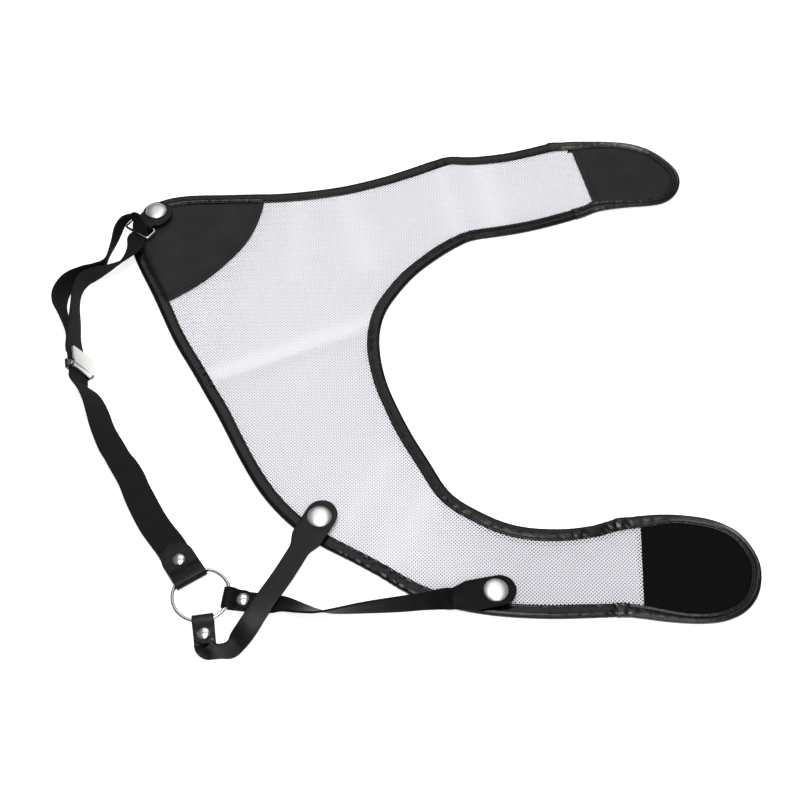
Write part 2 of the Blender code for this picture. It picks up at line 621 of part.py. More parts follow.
def build_tabs(root):
    upper_seam = np.mean([OUTER_EDGE[0], ARMHOLE_EDGE[-1]], axis=0)
    lower_seam = np.mean([OUTER_EDGE[-1], ARMHOLE_EDGE[0]], axis=0)
    upper = empty("upper_tab_fold", root, (*upper_seam, UPPER_BINDING_TOP + FOLD_AXIS_LIFT))
    lower = empty("lower_tab_fold", root, (*lower_seam, LOOP_TOP + FOLD_AXIS_LIFT))
    past_hem = HEM + HEM_CLEARANCE
    facing = inset(UPPER_TAB_EDGE, BINDING_INSET)
    add("upper_tab_leather", *prism(facing, FACING_LOW, FACING_TOP), black_leather(), upper)
    hook = inset(UPPER_TAB_EDGE, None, past_hem, UPPER_OUT)
    add("upper_tab_hook_pad", *prism(hook, 0, HOOK_PAD_THICKNESS), hook_and_loop(), upper)
    low = UPPER_BINDING_TOP - UPPER_BINDING_DEPTH
    binding("upper_tab_binding", UPPER_TAB_EDGE, low, UPPER_BINDING_TOP, upper, True)
    backing = inset(LOWER_TAB_EDGE, BINDING_INSET, past_hem, LOWER_OUT)
    backing_top = PANEL_LOW + BACKING_LEATHER
    add("lower_tab_backing", *prism(backing, PANEL_LOW, backing_top), black_leather(), lower)
    loops = inset(LOWER_TAB_EDGE)
    add("lower_tab_loop_pad", *prism(loops, FACING_LOW, LOOP_TOP), hook_and_loop(), lower)
    binding("lower_tab_binding", LOWER_TAB_EDGE, 0, BINDING_TOP, lower, True)


LOOP_TOP = FACING_LOW + LOOP_PAD_THICKNESS
STUDS = [("corner", CORNER_STUD, FACING_TOP + GAP, True),
         ("short_strap", SHORT_STRAP_STUD, FACING_LOW, False),
         ("long_strap", LONG_STRAP_STUD, FACING_LOW, False)]


# ---------------------------------------------------------------- harness
def press_cap(name, at, base, parent):
    """The half of a press stud on the strap: a socket below the leather and a domed cap above."""
    low = base + SOCKET_LIFT
    top = low + SOCKET_HEIGHT
    r, mouth, eye = SOCKET_DIAMETER / 2, STUD_BALL_DIAMETER / 2 + GAP, PRONG_DIAMETER / 2 + GAP
    plate = top - SOCKET_PLATE
    profile = [(mouth, low), (r - 0.0003, low), (r, low + 0.0004), (r, top - 0.0003),
               (r - 0.0005, top), (eye, top), (eye, plate), (mouth, plate)]
    add(f"{name}_socket", *turned(profile, at), satin_nickel(), parent)
    seat, rim, prong = base + CAP_LIFT, CAP_DIAMETER / 2, PRONG_DIAMETER / 2
    tip = base + STUD_BASE_THICKNESS + STUD_BALL_HEIGHT + GAP
    edge = [(0, tip), (prong, tip), (prong, seat), (rim - 0.0003, seat), (rim, seat + 0.0003)]
    dome = [(rim * math.sin(a), seat + CAP_HEIGHT * (0.35 + 0.65 * math.cos(a)))
            for a in np.radians([72, 52, 33, 15])]
    profile = [*edge, *dome, (0, seat + CAP_HEIGHT)]
    add(f"{name}_cap", *turned(profile, at), satin_nickel(), parent)


def rivet(name, at, top, parent):
    """A rivet through folded leather: a tube on a flange from below and a domed head with a pin."""
    seat = top + GAP
    pin, tube, wide = RIVET_PIN_DIAMETER / 2, RIVET_TUBE_DIAMETER / 2, RIVET_FLANGE_DIAMETER / 2
    bore, flange = pin + GAP, RIVET_FLANGE_THICKNESS
    profile = [(0, 0), (wide, 0), (wide, flange), (tube, flange), (tube, top), (bore, top),
               (bore, flange), (0, flange)]
    add(f"{name}_back", *turned(profile, at, RIVET_STEPS), satin_nickel(), parent)
    rim = RIVET_HEAD_DIAMETER / 2
    dome = [(rim * math.sin(a), seat + RIVET_HEAD_HEIGHT * (0.3 + 0.7 * math.cos(a)))
            for a in np.radians([70, 45, 20])]
    profile = [(0, flange + GAP), (pin, flange + GAP), (pin, seat), (rim, seat), *dome,
               (0, seat + RIVET_HEAD_HEIGHT)]
    add(f"{name}_head", *turned(profile, at, RIVET_STEPS), satin_nickel(), parent)


def upright_hole(piece, at, radius, low, high, parent):
    profile = [(0, low), (radius, low), (radius, high), (0, high)]
    cut(piece, *turned(profile, at, RIVET_STEPS), parent)


def prong_hole(piece, at, level, parent):
    """The hole for a press stud's prong in a strap whose middle is at the height level."""
    reach = STRAP_LEATHER
    upright_hole(piece, at, PRONG_DIAMETER / 2 + 2 * GAP, level - reach, level + reach, parent)


def build_corner_tab(parent):
    d = heading(CORNER_HEADING)
    level = STUDS[0][2] + PADDLE_LIFT + STRAP_LEATHER / 2
    turn = [(LOOP_REACH + TAB_TURN * math.cos(a), BAR_HEIGHT + TAB_TURN * math.sin(a))
            for a in HALF_TURN]
    wide, fold = CORNER_TAB_WIDTH, CORNER_FOLD_WIDTH
    rows = [(-s, level, w) for s, w in round_tip(CORNER_TAB_TIP, wide)]
    rows += [(0.0040, level, wide - 0.0006), (0.0078, level, wide - 0.0018),
             (0.0105, (level + turn[0][1]) / 2, fold + 0.0006)]
    rows += [(s, z, fold) for s, z in turn]
    rows += [(0.0105, turn[-1][1], fold), (0.0078, turn[-1][1], fold)]
    line = rows_out_from(CORNER_STUD, CORNER_HEADING, 1, [(s, z) for s, z, _ in rows])
    aside = np.array([-d[1], d[0]]) * CORNER_TAB_OFFSET
    share = np.clip((0.0105 - np.array([s for s, _, _ in rows])) / 0.005, 0, 1)
    line = [(x + k * aside[0], y + k * aside[1], *rest) for (x, y, *rest), k in zip(line, share)]
    rows_wide = [w for _, _, w in rows]
    tab = strap("corner_tab", with_directions(line), rows_wide, STRAP_LEATHER, black_leather(), parent)
    prong_hole(tab, CORNER_STUD, level, parent)
    press_cap("corner", CORNER_STUD, STUDS[0][2], parent)


def build_loop(parent):
    """The rectangular wire loop, with rounded corners."""
    back, front = np.array(bars())
    middle, d = (back + front) / 2, heading(CORNER_HEADING)
    along, side = np.array([*d, 0]), np.array([-d[1], d[0], 0])
    half_l, half_w, r = LOOP_DEPTH / 2, LOOP_WIDTH / 2, LOOP_CORNER
    path = []
    for turn in range(4):
        for a in np.radians(np.linspace(0, 90, 5) + 90 * turn):
            x = (half_l - r) * (1 if turn in (0, 3) else -1) + r * math.cos(a)
            y = (half_w - r) * (1 if turn in (0, 1) else -1) + r * math.sin(a)
            path.append(middle + along * x + side * y)
    add("rectangular_loop", *closed_wire(path, LOOP_WIRE / 2, 10), satin_nickel(), parent)


def closed_wire(path, radius, steps):
    """Round wire along a flat closed path."""
    path = np.array(path)
    along = unit(np.roll(path, -1, axis=0) - np.roll(path, 1, axis=0))
    up = np.array([0, 0, 1.0])
    n = len(path)
    vertices, faces = [], []
    for p, t in zip(path, along):
        side = np.cross(t, up)
        for k in range(steps):
            a = 2 * math.pi * (k + 0.5) / steps
            vertices.append(p + radius * (side * math.cos(a) + up * math.sin(a)))
    for i in range(n):
        j = (i + 1) % n
        for k in range(steps):
            m = (k + 1) % steps
            faces.append((i * steps + k, i * steps + m, j * steps + m, j * steps + k))
    return vertices, faces


def elastic_rows():
    """The elastic's one long route: from the ring tab, through the adjuster and the wire loop, and
    back to the adjuster."""
    across, along, out = adjuster_axes()
    pin = np.array(ADJUSTER_PIN_AT)
    face = (ADJUSTER_HEADING - 90, -ADJUSTER_TILT, ELASTIC_WIDTH)
    held = [(s, ELASTIC_LOW) for s in (0.0212, 0.0278, 0.0345, 0.0405)]
    start = [(*row, ELASTIC_WIDTH) for row in rows_out_from(RING_CENTRE, RING_TAB_HEADING, -1, held)]
    strap_at = pin - out * STRAP_UNDER_PIN
    straight = [(*(strap_at + along * y), *face) for y in (-0.0095, -0.0050, 0.0, 0.0080, 0.0135)]
    d = heading(CORNER_HEADING)
    bar = np.array(bars()[1][:2]) + LOOP_STRAP_SHIFT * np.array([-d[1], d[0]])
    flat = (CORNER_HEADING - 270, -180, ELASTIC_RETURN[-1][5] - 0.001)
    low, reach = BAR_HEIGHT - ELASTIC_TURN, ELASTIC_TURN
    under = [(*(bar + s * d), low + lift, *flat) for s, lift in ((0.0040, 0.0006), (0.0, 0.0))]
    turn = [(*(bar - reach * math.cos(a) * d), BAR_HEIGHT + reach * math.sin(a), *flat)
            for a in np.radians([-50, -5])]
    behind = strap_at - out * (ELASTIC_THICKNESS + 1.6 * GAP) + across * 0.0010
    last = [(*(behind + along * (ADJUSTER_REACH + y)), *face) for y in (0.0085, 0.0045, 0.0014)]
    rows = start + ELASTIC_RUN + straight + ELASTIC_RETURN + under + turn + ELASTIC_EAR + last
    return smooth(with_directions(rows), 3)


def build_adjuster(harness):
    across, along, out = adjuster_axes()
    sliding = empty("adjuster_slide", harness, ADJUSTER_PIN_AT)
    flapping = empty("adjuster_flap", sliding, ADJUSTER_PIN_AT)
    turned_to = np.stack([across, along, out], axis=1)
    drawn = Matrix([[*row, at] for row, at in zip(turned_to, ADJUSTER_PIN_AT)] + [[0, 0, 0, 1]])

    def across_prism(profile, half):
        """A profile in the frame's own y and z, carried from -half to half along its x."""
        vertices, faces = prism(profile, -half, half)
        return [(z, x, y) for x, y, z in vertices], faces

    def arc(radius, angles):
        return [(radius * math.cos(a), radius * math.sin(a)) for a in angles]

    def round_bar(radius, half, steps=14):
        return across_prism(arc(radius, np.arange(steps) * 2 * math.pi / steps), half)

    inside, plate, floor = ADJUSTER_INSIDE, ADJUSTER_PLATE, -ADJUSTER_PIN_HEIGHT
    outside, pin = inside + ADJUSTER_WALL, ADJUSTER_PIN_DIAMETER / 2
    ear = pin + GAP + ADJUSTER_BARREL_WALL
    channel = [(-outside, floor - plate), (outside, floor - plate), (outside, 0.002),
               (inside, 0.002), (inside, floor), (-inside, floor), (-inside, 0.002),
               (-outside, 0.002)]
    vertices, faces = prism(channel, -ADJUSTER_HEEL, ADJUSTER_CHANNEL)
    vertices = [(x, z, y) for x, y, z in vertices]
    frame = add("adjuster_frame", vertices, faces, satin_nickel(), sliding, drawn)
    away = [(-0.004, floor + 0.0012), (-ear - 0.0003, floor + 0.0014), (-ear, 0.0),
            (-ear * 0.7, ear * 0.7), (0, ear), (ear * 0.7, ear * 0.7), (ear, 0.0),
            (ear + 0.0007, floor + 0.0014), (0.02, floor + 0.0009), (0.02, 0.006), (-0.004, 0.006)]
    cut(frame, *across_prism(away, 0.02), sliding, drawn=drawn)
    cut(frame, *round_bar(pin + GAP, 0.02), sliding, drawn=drawn)
    end, head = outside + 0.0009, outside + GAP
    pin_rows = [(0, -end), (ear, -end), (ear, -head), (pin, -head), (pin, head), (ear, head),
                (ear, end), (0, end)]
    vertices, faces = turned(pin_rows, (0, 0), 14)
    add("adjuster_pin", [(z, x, y) for x, y, z in vertices], faces, satin_nickel(), sliding, drawn)
    low = ear - 0.0001
    web = [(0.0016, 0.0007), (0.0014, low + 0.0005), (-0.0003, low + 0.0005), (-0.0015, 0.0010)]
    barrel = arc(ear, np.radians(np.arange(150, 391, 20)))
    tooth = arc(ear + 0.0002, np.radians([262, 278]))
    profile = barrel[:6] + tooth + barrel[7:] + web
    vertices, faces = across_prism(profile, inside - 0.0007)
    flap = add("adjuster_flap_plate", vertices, faces, satin_nickel(), flapping, drawn)
    narrow, wide, far = inside - GAP, outside, ADJUSTER_REACH + 0.0012
    cover = [(-narrow, -0.0006), (narrow, -0.0006), (narrow, 0.0020), (wide, 0.0020),
             (wide, far - 0.001), (wide - 0.001, far), (-wide + 0.001, far), (-wide, far - 0.001),
             (-wide, 0.0020), (-narrow, 0.0020)]
    cut(flap, *prism(cover, low, low + ADJUSTER_PLATE), flapping, "UNION", drawn)
    cut(flap, *round_bar(pin + GAP, 0.02), flapping, drawn=drawn)


def build_harness(root):
    """Everything that comes away with the press studs, each moving piece under its own empty."""
    release = empty("harness_release", root, (*CORNER_STUD, 0))
    build_corner_tab(release)
    back, front = bars()
    loop = empty("loop_pivot", release, back)
    build_loop(loop)
    harness = empty("harness_lift", loop, front)
    rows = elastic_rows()
    widths = rows[:, 6]
    elastic = strap("elastic_strap", rows, widths, ELASTIC_THICKNESS, black_elastic(), harness)
    build_adjuster(harness)

    outside = RING_RADIUS + RING_WIRE / 2
    tip = outside + RING_TAB_LENGTH
    wrap = ring_wrap(RING_TAB_WIDTH, tip, TAB_FLAP_HEIGHT)
    wrap += [(s, STRAP_LOW, w) for s, w in round_tip(tip, RING_TAB_WIDTH)[::-1]]
    rows = with_directions(rows_out_from(RING_CENTRE, RING_TAB_HEADING, 1, [row[:2] for row in wrap]))
    widths = [w for _, _, w in wrap]
    tab = strap("ring_tab", rows, widths, STRAP_LEATHER, black_leather(), harness)
    at = np.array(RING_CENTRE) + (outside + RING_TAB_RIVET) * heading(RING_TAB_HEADING)
    hole = RIVET_TUBE_DIAMETER / 2 + GAP
    for piece in (tab, elastic):
        upright_hole(piece, at, hole, 0, TAB_FLAP_HEIGHT + 0.002, harness)
    rivet("ring_tab_rivet", at, TAB_FLAP_HEIGHT + STRAP_LEATHER / 2, harness)

    straps = (("short_strap", SHORT_STRAP_HEADING, SHORT_STRAP_ROUTE, STUDS[1], 0),
              ("long_strap", LONG_STRAP_HEADING, LONG_STRAP_ROUTE, STUDS[2], -180))
    for name, degrees, route, (_, stud, base, _), twist in straps:
        piece = ring_strap(name, degrees, route, stud, base, harness, twist)
        level = base + PADDLE_LIFT + STRAP_LEATHER / 2
        prong_hole(piece, stud, level, harness)
        at = np.array(RING_CENTRE) + (outside + RIVET_DISTANCE) * heading(degrees)
        upright_hole(piece, at, hole, 0, FLAP_HEIGHT + 0.002, harness)
        rivet(f"{name}_rivet", at, FLAP_HEIGHT + STRAP_LEATHER / 2, harness)
        press_cap(name, stud, base, harness)

    ring = empty("ring_spin", harness, (*RING_CENTRE, RING_HEIGHT))
    x, y = RING_CENTRE
    circle = [(x + RING_RADIUS * math.cos(a), y + RING_RADIUS * math.sin(a), RING_HEIGHT)
              for a in np.linspace(0, 2 * math.pi, 40, endpoint=False)]
    add("o_ring", *closed_wire(circle, RING_WIRE / 2, 10), satin_nickel(), ring)


def main():
    for old in list(bpy.data.objects):
        bpy.data.objects.remove(old, do_unlink=True)
    root = empty("chest_guard", None, (0, 0, 0))
    root.location = (-FOOTPRINT_CENTRE[0], -FOOTPRINT_CENTRE[1], 0)
    build_guard(root)
    build_tabs(root)
    build_harness(root)


main()
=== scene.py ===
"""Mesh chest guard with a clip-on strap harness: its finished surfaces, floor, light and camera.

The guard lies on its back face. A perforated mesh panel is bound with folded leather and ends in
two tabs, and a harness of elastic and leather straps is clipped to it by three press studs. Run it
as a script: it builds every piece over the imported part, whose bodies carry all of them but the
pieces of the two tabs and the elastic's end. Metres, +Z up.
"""

import math

import bmesh
import bpy
import numpy as np
from bpy.props import FloatProperty, FloatVectorProperty, IntProperty, PointerProperty
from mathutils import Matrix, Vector


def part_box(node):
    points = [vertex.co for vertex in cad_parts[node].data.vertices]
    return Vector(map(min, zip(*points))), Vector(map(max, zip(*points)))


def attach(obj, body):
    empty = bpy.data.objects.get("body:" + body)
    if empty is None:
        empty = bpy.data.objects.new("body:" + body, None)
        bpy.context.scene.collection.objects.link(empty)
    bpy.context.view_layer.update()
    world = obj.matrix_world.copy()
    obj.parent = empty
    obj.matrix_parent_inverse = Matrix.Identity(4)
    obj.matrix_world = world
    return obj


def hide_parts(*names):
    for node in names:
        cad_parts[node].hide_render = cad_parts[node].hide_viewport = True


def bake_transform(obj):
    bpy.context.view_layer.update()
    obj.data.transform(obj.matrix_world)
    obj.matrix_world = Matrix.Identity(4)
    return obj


bl_info = {
    "name": "Mesh Chest Guard",
    "version": (1, 0, 0),
    "blender": (4, 5, 0),
    "location": "3D View > Sidebar > Chest Guard",
    "description": "Builds a bound mesh chest guard with its strap harness",
    "category": "Add Mesh",
}

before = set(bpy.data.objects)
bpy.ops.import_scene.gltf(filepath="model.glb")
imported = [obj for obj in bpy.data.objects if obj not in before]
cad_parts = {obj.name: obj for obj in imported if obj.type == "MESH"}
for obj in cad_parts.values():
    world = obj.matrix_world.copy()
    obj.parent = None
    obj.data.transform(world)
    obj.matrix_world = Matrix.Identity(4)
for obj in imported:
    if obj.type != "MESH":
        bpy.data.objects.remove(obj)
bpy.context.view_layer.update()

# ---------------- the part's sizes, in metres
GAP = 0.0003
MESH_THICKNESS = 0.0012
BINDING_LEATHER = 0.0007
BINDING_WIDTH = 0.0085
TAB_BINDING_WIDTH = 0.0062
TAB_BINDING_EASE = 0.030
FACING_LEATHER = 0.0007
HEM = 0.005
CAP_DIAMETER = 0.015
CAP_HEIGHT = 0.0021
SOCKET_DIAMETER = 0.0104
SOCKET_HEIGHT = 0.0019
STUD_BASE_DIAMETER = 0.0096
STUD_BASE_THICKNESS = 0.0007
STUD_BALL_DIAMETER = 0.0054
STUD_BALL_HEIGHT = 0.0015
POST_FLANGE_DIAMETER = 0.0054
POST_FLANGE_THICKNESS = 0.0005
PRONG_DIAMETER = 0.0018
STRAP_LEATHER = 0.0014
STRAP_WIDTH = 0.013
PADDLE_WIDTH = 0.020
PADDLE_TIP = 0.0125
PADDLE_LENGTH = 0.0150
PADDLE_NECK = 0.0115
ELASTIC_THICKNESS = 0.0012
ELASTIC_WIDTH = 0.019
RING_DIAMETER = 0.0368
RING_WIRE = 0.0024
RING_TAB_WIDTH = 0.0205
RING_TAB_LENGTH = 0.0215
RING_TAB_RIVET = 0.0090
RIVET_HEAD_DIAMETER = 0.008
RIVET_HEAD_HEIGHT = 0.0013
RIVET_FLANGE_DIAMETER = 0.007
RIVET_FLANGE_THICKNESS = 0.0005
RIVET_PIN_DIAMETER = 0.0018
RIVET_DISTANCE = 0.0068
STRAP_FLAP = 0.0065
CORNER_TAB_WIDTH = 0.021
CORNER_TAB_OFFSET = 0.0014
CORNER_FOLD_WIDTH = 0.0146
CORNER_TAB_TIP = 0.0102
LOOP_WIRE = 0.002
LOOP_DEPTH = 0.009
LOOP_REACH = 0.0135
LOOP_WIDTH = 0.0205
LOOP_CORNER = 0.0020
LOOP_STRAP_SHIFT = 0.0022
ADJUSTER_REACH = 0.0120
ADJUSTER_TILT = 62.0

# ---------------- its outlines, in x, y
CORNER_STUD = (-0.1757, 0.1603)
SHORT_STRAP_STUD = (-0.0496, -0.0930)
LONG_STRAP_STUD = (0.0570, -0.1432)
RING_CENTRE = (-0.1186, -0.1446)
RING_TAB_HEADING = 123.0  # degrees from +x
SHORT_STRAP_HEADING = -81.4
LONG_STRAP_HEADING = -6.8
CORNER_HEADING = 236.0
ADJUSTER_PIN_AT = (-0.2097, 0.0160, 0.0121)
ADJUSTER_HEADING = 102.0

# The panel's outer edge, from the upper tab round the corner and down to the lower tab.
OUTER_EDGE = [
    (0.1262, 0.2362), (0.1130, 0.2350), (0.0960, 0.2294), (0.0760, 0.2238), (0.0540, 0.2208),
    (0.0370, 0.2212), (0.0240, 0.2165), (0.0060, 0.2080), (-0.0180, 0.1980), (-0.0480, 0.1890),
    (-0.0820, 0.1838), (-0.1200, 0.1818), (-0.1500, 0.1810), (-0.1660, 0.1787), (-0.1780, 0.1736),
    (-0.1870, 0.1650), (-0.1920, 0.1530), (-0.1925, 0.1400), (-0.1895, 0.1260), (-0.1835, 0.1115),
    (-0.1710, 0.0860), (-0.1535, 0.0480), (-0.1400, 0.0240), (-0.1290, 0.0040), (-0.1180, -0.0160),
    (-0.1020, -0.0480), (-0.0900, -0.0690), (-0.0780, -0.0850), (-0.0640, -0.0990),
    (-0.0480, -0.1105), (-0.0300, -0.1206), (-0.0140, -0.1303), (0.0000, -0.1397),
    (0.0120, -0.1462), (0.0300, -0.1520), (0.0560, -0.1570), (0.0880, -0.1590), (0.1200, -0.1582),
    (0.1330, -0.1578), (0.1440, -0.1590),
]
# The armhole edge, from the lower tab back round to the upper tab.
ARMHOLE_EDGE = [
    (0.1475, -0.0892), (0.1330, -0.0915), (0.1180, -0.0962), (0.1000, -0.0985), (0.0800, -0.0976),
    (0.0640, -0.0935), (0.0480, -0.0852), (0.0360, -0.0768), (0.0280, -0.0672), (0.0190, -0.0500),
    (0.0080, -0.0290), (-0.0020, -0.0060), (-0.0090, 0.0140), (-0.0130, 0.0350), (-0.0135, 0.0540),
    (-0.0098, 0.0720), (-0.0010, 0.0890), (0.0120, 0.1070), (0.0300, 0.1240), (0.0450, 0.1350),
    (0.0545, 0.1392), (0.0680, 0.1418), (0.0880, 0.1460), (0.1080, 0.1520), (0.1280, 0.1592),
    (0.1420, 0.1650),
]
UPPER_TAB_EDGE = [
    (0.1420, 0.1650), (0.1540, 0.1676), (0.1680, 0.1696), (0.1810, 0.1708), (0.1910, 0.1730),
    (0.1985, 0.1778), (0.2038, 0.1850), (0.2066, 0.1945), (0.2058, 0.2042), (0.2010, 0.2132),
    (0.1930, 0.2226), (0.1835, 0.2296), (0.1710, 0.2342), (0.1550, 0.2358), (0.1400, 0.2360),
    (0.1262, 0.2362),
]
LOWER_TAB_EDGE = [
    (0.1440, -0.1590), (0.1600, -0.1612), (0.1780, -0.1622), (0.1930, -0.1604), (0.2060, -0.1540),
    (0.2150, -0.1424), (0.2186, -0.1260), (0.2155, -0.1120), (0.2070, -0.0996), (0.1930, -0.0920),
    (0.1760, -0.0888), (0.1600, -0.0882), (0.1475, -0.0892),
]
PATCH_ARC = [(-0.0990, 0.1810), (-0.1005, 0.1640), (-0.1075, 0.1400), (-0.1210, 0.1180),
             (-0.1400, 0.0970), (-0.1670, 0.0760)]

# A strap's route: x, y, z of its middle, then the heading and the tilt, in degrees, of the line
# across its width.
SHORT_STRAP_ROUTE = [
    (-0.1124, -0.1788, 0.0042, 14, 28), (-0.1092, -0.1810, 0.0063, 36, 58),
    (-0.1042, -0.1824, 0.0071, 74, 76), (-0.0977, -0.1808, 0.0069, 114, 62),
    (-0.0938, -0.1745, 0.0060, 135, 38), (-0.0893, -0.1665, 0.0056, 148, 16),
    (-0.0845, -0.1578, 0.0064, 150, 4), (-0.0775, -0.1458, 0.0072, 150, 0),
    (-0.0700, -0.1328, 0.0068, 152, 0),
]
LONG_STRAP_ROUTE = [
    (-0.0838, -0.1490, 0.0016, 83, -3), (-0.0765, -0.1497, 0.0021, 85, -10),
    (-0.0690, -0.1505, 0.0035, 88, -24), (-0.0600, -0.1535, 0.0050, 90, -38),
    (-0.0500, -0.1562, 0.0062, 92, -55), (-0.0400, -0.1566, 0.0068, 92, -73),
    (-0.0200, -0.1543, 0.0070, 95, -93), (0.0000, -0.1521, 0.0069, 96, -107),
    (0.0150, -0.1506, 0.0078, 95, -116), (0.0260, -0.1494, 0.0084, 97, -138),
]
# The elastic's rows hold its width too: it is gathered where it passes the wire loop.
ELASTIC_RUN = [
    (-0.1505, -0.0975, 0.0023, 31, -4, 0.019), (-0.1570, -0.0870, 0.0024, 28, -8, 0.019),
    (-0.1630, -0.0760, 0.0034, 24, -15, 0.019), (-0.1663, -0.0695, 0.0046, 24, -22, 0.019),
    (-0.1697, -0.0625, 0.0043, 25, -19, 0.019), (-0.1740, -0.0555, 0.0044, 27, -20, 0.019),
    (-0.1792, -0.0482, 0.0056, 29, -28, 0.019), (-0.1840, -0.0405, 0.0056, 30, -28, 0.019),
    (-0.1910, -0.0275, 0.0070, 31, -38, 0.019), (-0.1958, -0.0155, 0.0077, 30, -43, 0.019),
    (-0.1993, -0.0075, 0.0084, 31, -48, 0.019), (-0.2035, -0.0010, 0.0096, 30, -54, 0.019),
]
ELASTIC_RETURN = [
    (-0.2187, 0.0460, 0.0103, 8, -74, 0.019), (-0.2203, 0.0620, 0.0102, 5, -80, 0.019),
    (-0.2220, 0.0780, 0.0102, -4, -87, 0.019), (-0.2210, 0.0895, 0.0102, -30, -92, 0.019),
    (-0.2168, 0.0965, 0.0101, -52, -98, 0.019), (-0.2110, 0.1002, 0.0100, -60, -104, 0.019),
    (-0.2047, 0.1039, 0.0096, -58, -114, 0.0180), (-0.1966, 0.1103, 0.0089, -52, -125, 0.0148),
    (-0.1906, 0.1194, 0.0073, -42, -142, 0.0125), (-0.1876, 0.1293, 0.0058, -36, -166, 0.0125),
]
ELASTIC_EAR = [
    (-0.1853, 0.1436, 0.0095, -34, -178, 0.013), (-0.1871, 0.1468, 0.0133, -25, -145, 0.013),
    (-0.1912, 0.1491, 0.0150, -40, -124, 0.013), (-0.1969, 0.1446, 0.0142, -68, -100, 0.0135),
    (-0.2006, 0.1355, 0.0121, -30, -94, 0.017), (-0.2037, 0.1216, 0.0110, -5, -106, 0.019),
    (-0.2060, 0.1096, 0.0108, -64, -117, 0.019), (-0.2127, 0.1030, 0.0107, -60, -105, 0.019),
    (-0.2200, 0.0990, 0.0107, -55, -96, 0.019), (-0.2293, 0.0910, 0.0107, -36, -84, 0.019),
    (-0.2330, 0.0795, 0.0107, -3, -72, 0.019), (-0.2315, 0.0690, 0.0107, 5, -68, 0.019),
    (-0.2258, 0.0575, 0.0106, 10, -71, 0.019), (-0.2200, 0.0435, 0.0104, 11, -75, 0.019),
]

# ---------------- curves
EDGE_STEP = 0.0012  # between two points along a drawn edge


def smooth(points, per_span, closed=False):
    """A Catmull-Rom curve through the points, per_span steps between each pair."""
    p = np.array(points, float)
    ends = (2 * p[:1] - p[1:2], 2 * p[-1:] - p[-2:-1], p[:0])
    if closed:
        ends = (p[-1:], p[:1], p[1:2])
    p = np.concatenate([ends[0], p, ends[1], ends[2]])
    t = np.linspace(0, 1, per_span, endpoint=False)[:, None]
    spans = []
    for a, b, c, d in zip(p[:-3], p[1:-2], p[2:-1], p[3:]):
        spans.append(0.5 * (2 * b + (c - a) * t + (2 * a - 5 * b + 4 * c - d) * t**2
                            + (3 * b - a - 3 * c + d) * t**3))
    out = np.concatenate(spans)
    return out if closed else np.vstack([out, p[-2]])


def lengths_along(line):
    """Distance of each point from a line's start, measured along it."""
    return np.concatenate([[0], np.cumsum(np.linalg.norm(np.diff(line, axis=0), axis=1))])


def spaced(line):
    """The line again, with points about EDGE_STEP apart."""
    along = lengths_along(line)
    at = np.linspace(0, along[-1], max(3, round(along[-1] / EDGE_STEP) + 1))
    return np.stack([np.interp(at, along, line[:, k]) for k in range(line.shape[1])], axis=1)


def unit(v):
    v = np.asarray(v, float)
    return v / np.linalg.norm(v, axis=-1, keepdims=True)


def left_of(d):
    """Flat directions turned a quarter to the left."""
    return np.stack([-d[..., 1], d[..., 0]], axis=-1)


def along_loop(line):
    """Unit vectors along a closed line, one at each point."""
    return unit(np.roll(line, -1, axis=0) - np.roll(line, 1, axis=0))


def heading(degrees):
    return np.array([math.cos(math.radians(degrees)), math.sin(math.radians(degrees))])


def directions(headings, tilts):
    """Unit vectors from headings and tilts in degrees."""
    h, t = np.radians(headings), np.radians(tilts)
    return np.stack([np.cos(h) * np.cos(t), np.sin(h) * np.cos(t), np.sin(t)], axis=1)


def ease(t):
    """0 before t = 0, 1 after t = 1, and 3t^2 - 2t^3 between."""
    t = np.clip(t, 0, 1)
    return t * t * (3 - 2 * t)


PATCH_CURVE = smooth(PATCH_ARC, 8)


# ---------------- the guard's closed edge
def closed_edge():
    """The whole edge as one closed line, a point each millimetre: the four drawn edges as smooth
    curves, end to end, averaged over 5 mm. Returns the points, the unit vectors into the panel and
    the distances along it at which each drawn edge starts."""
    drawn = (OUTER_EDGE, LOWER_TAB_EDGE, ARMHOLE_EDGE, UPPER_TAB_EDGE)
    legs = [smooth(edge, 12)[:-1] for edge in drawn]
    line = np.vstack(legs + [legs[0][:1]])
    along = lengths_along(line)
    starts = along[np.cumsum([0] + [len(leg) for leg in legs])]
    at = np.linspace(0, along[-1], round(along[-1] / 0.001), endpoint=False)
    xy = np.stack([np.interp(at, along, line[:, k]) for k in (0, 1)], axis=1)
    xy = sum(np.roll(xy, k, axis=0) for k in range(-2, 3)) / 5
    return xy, left_of(along_loop(xy)), starts


EDGE, EDGE_IN, EDGE_STARTS = closed_edge()
EDGE_LENGTH = EDGE_STARTS[-1]
LOWER_SEAM, LOWER_SEAM_BACK, UPPER_SEAM = EDGE_STARTS[1:4]


def edge_rows(first, last, step=EDGE_STEP):
    """Stations on the closed edge from the distance first to last: distance, place, way in."""
    s = np.linspace(first, last, max(3, round((last - first) / step) + 1))
    at = (s % EDGE_LENGTH) / EDGE_LENGTH * len(EDGE)
    low = np.floor(at).astype(int) % len(EDGE)
    high, t = (low + 1) % len(EDGE), (at - np.floor(at))[:, None]
    between = lambda values: values[low] * (1 - t) + values[high] * t
    return s, between(EDGE), unit(between(EDGE_IN))


def edge_inset(first, last, depth):
    """Points on the closed edge between two places, moved inward by depth."""
    _, at, inward = edge_rows(first, last)
    return at + inward * depth


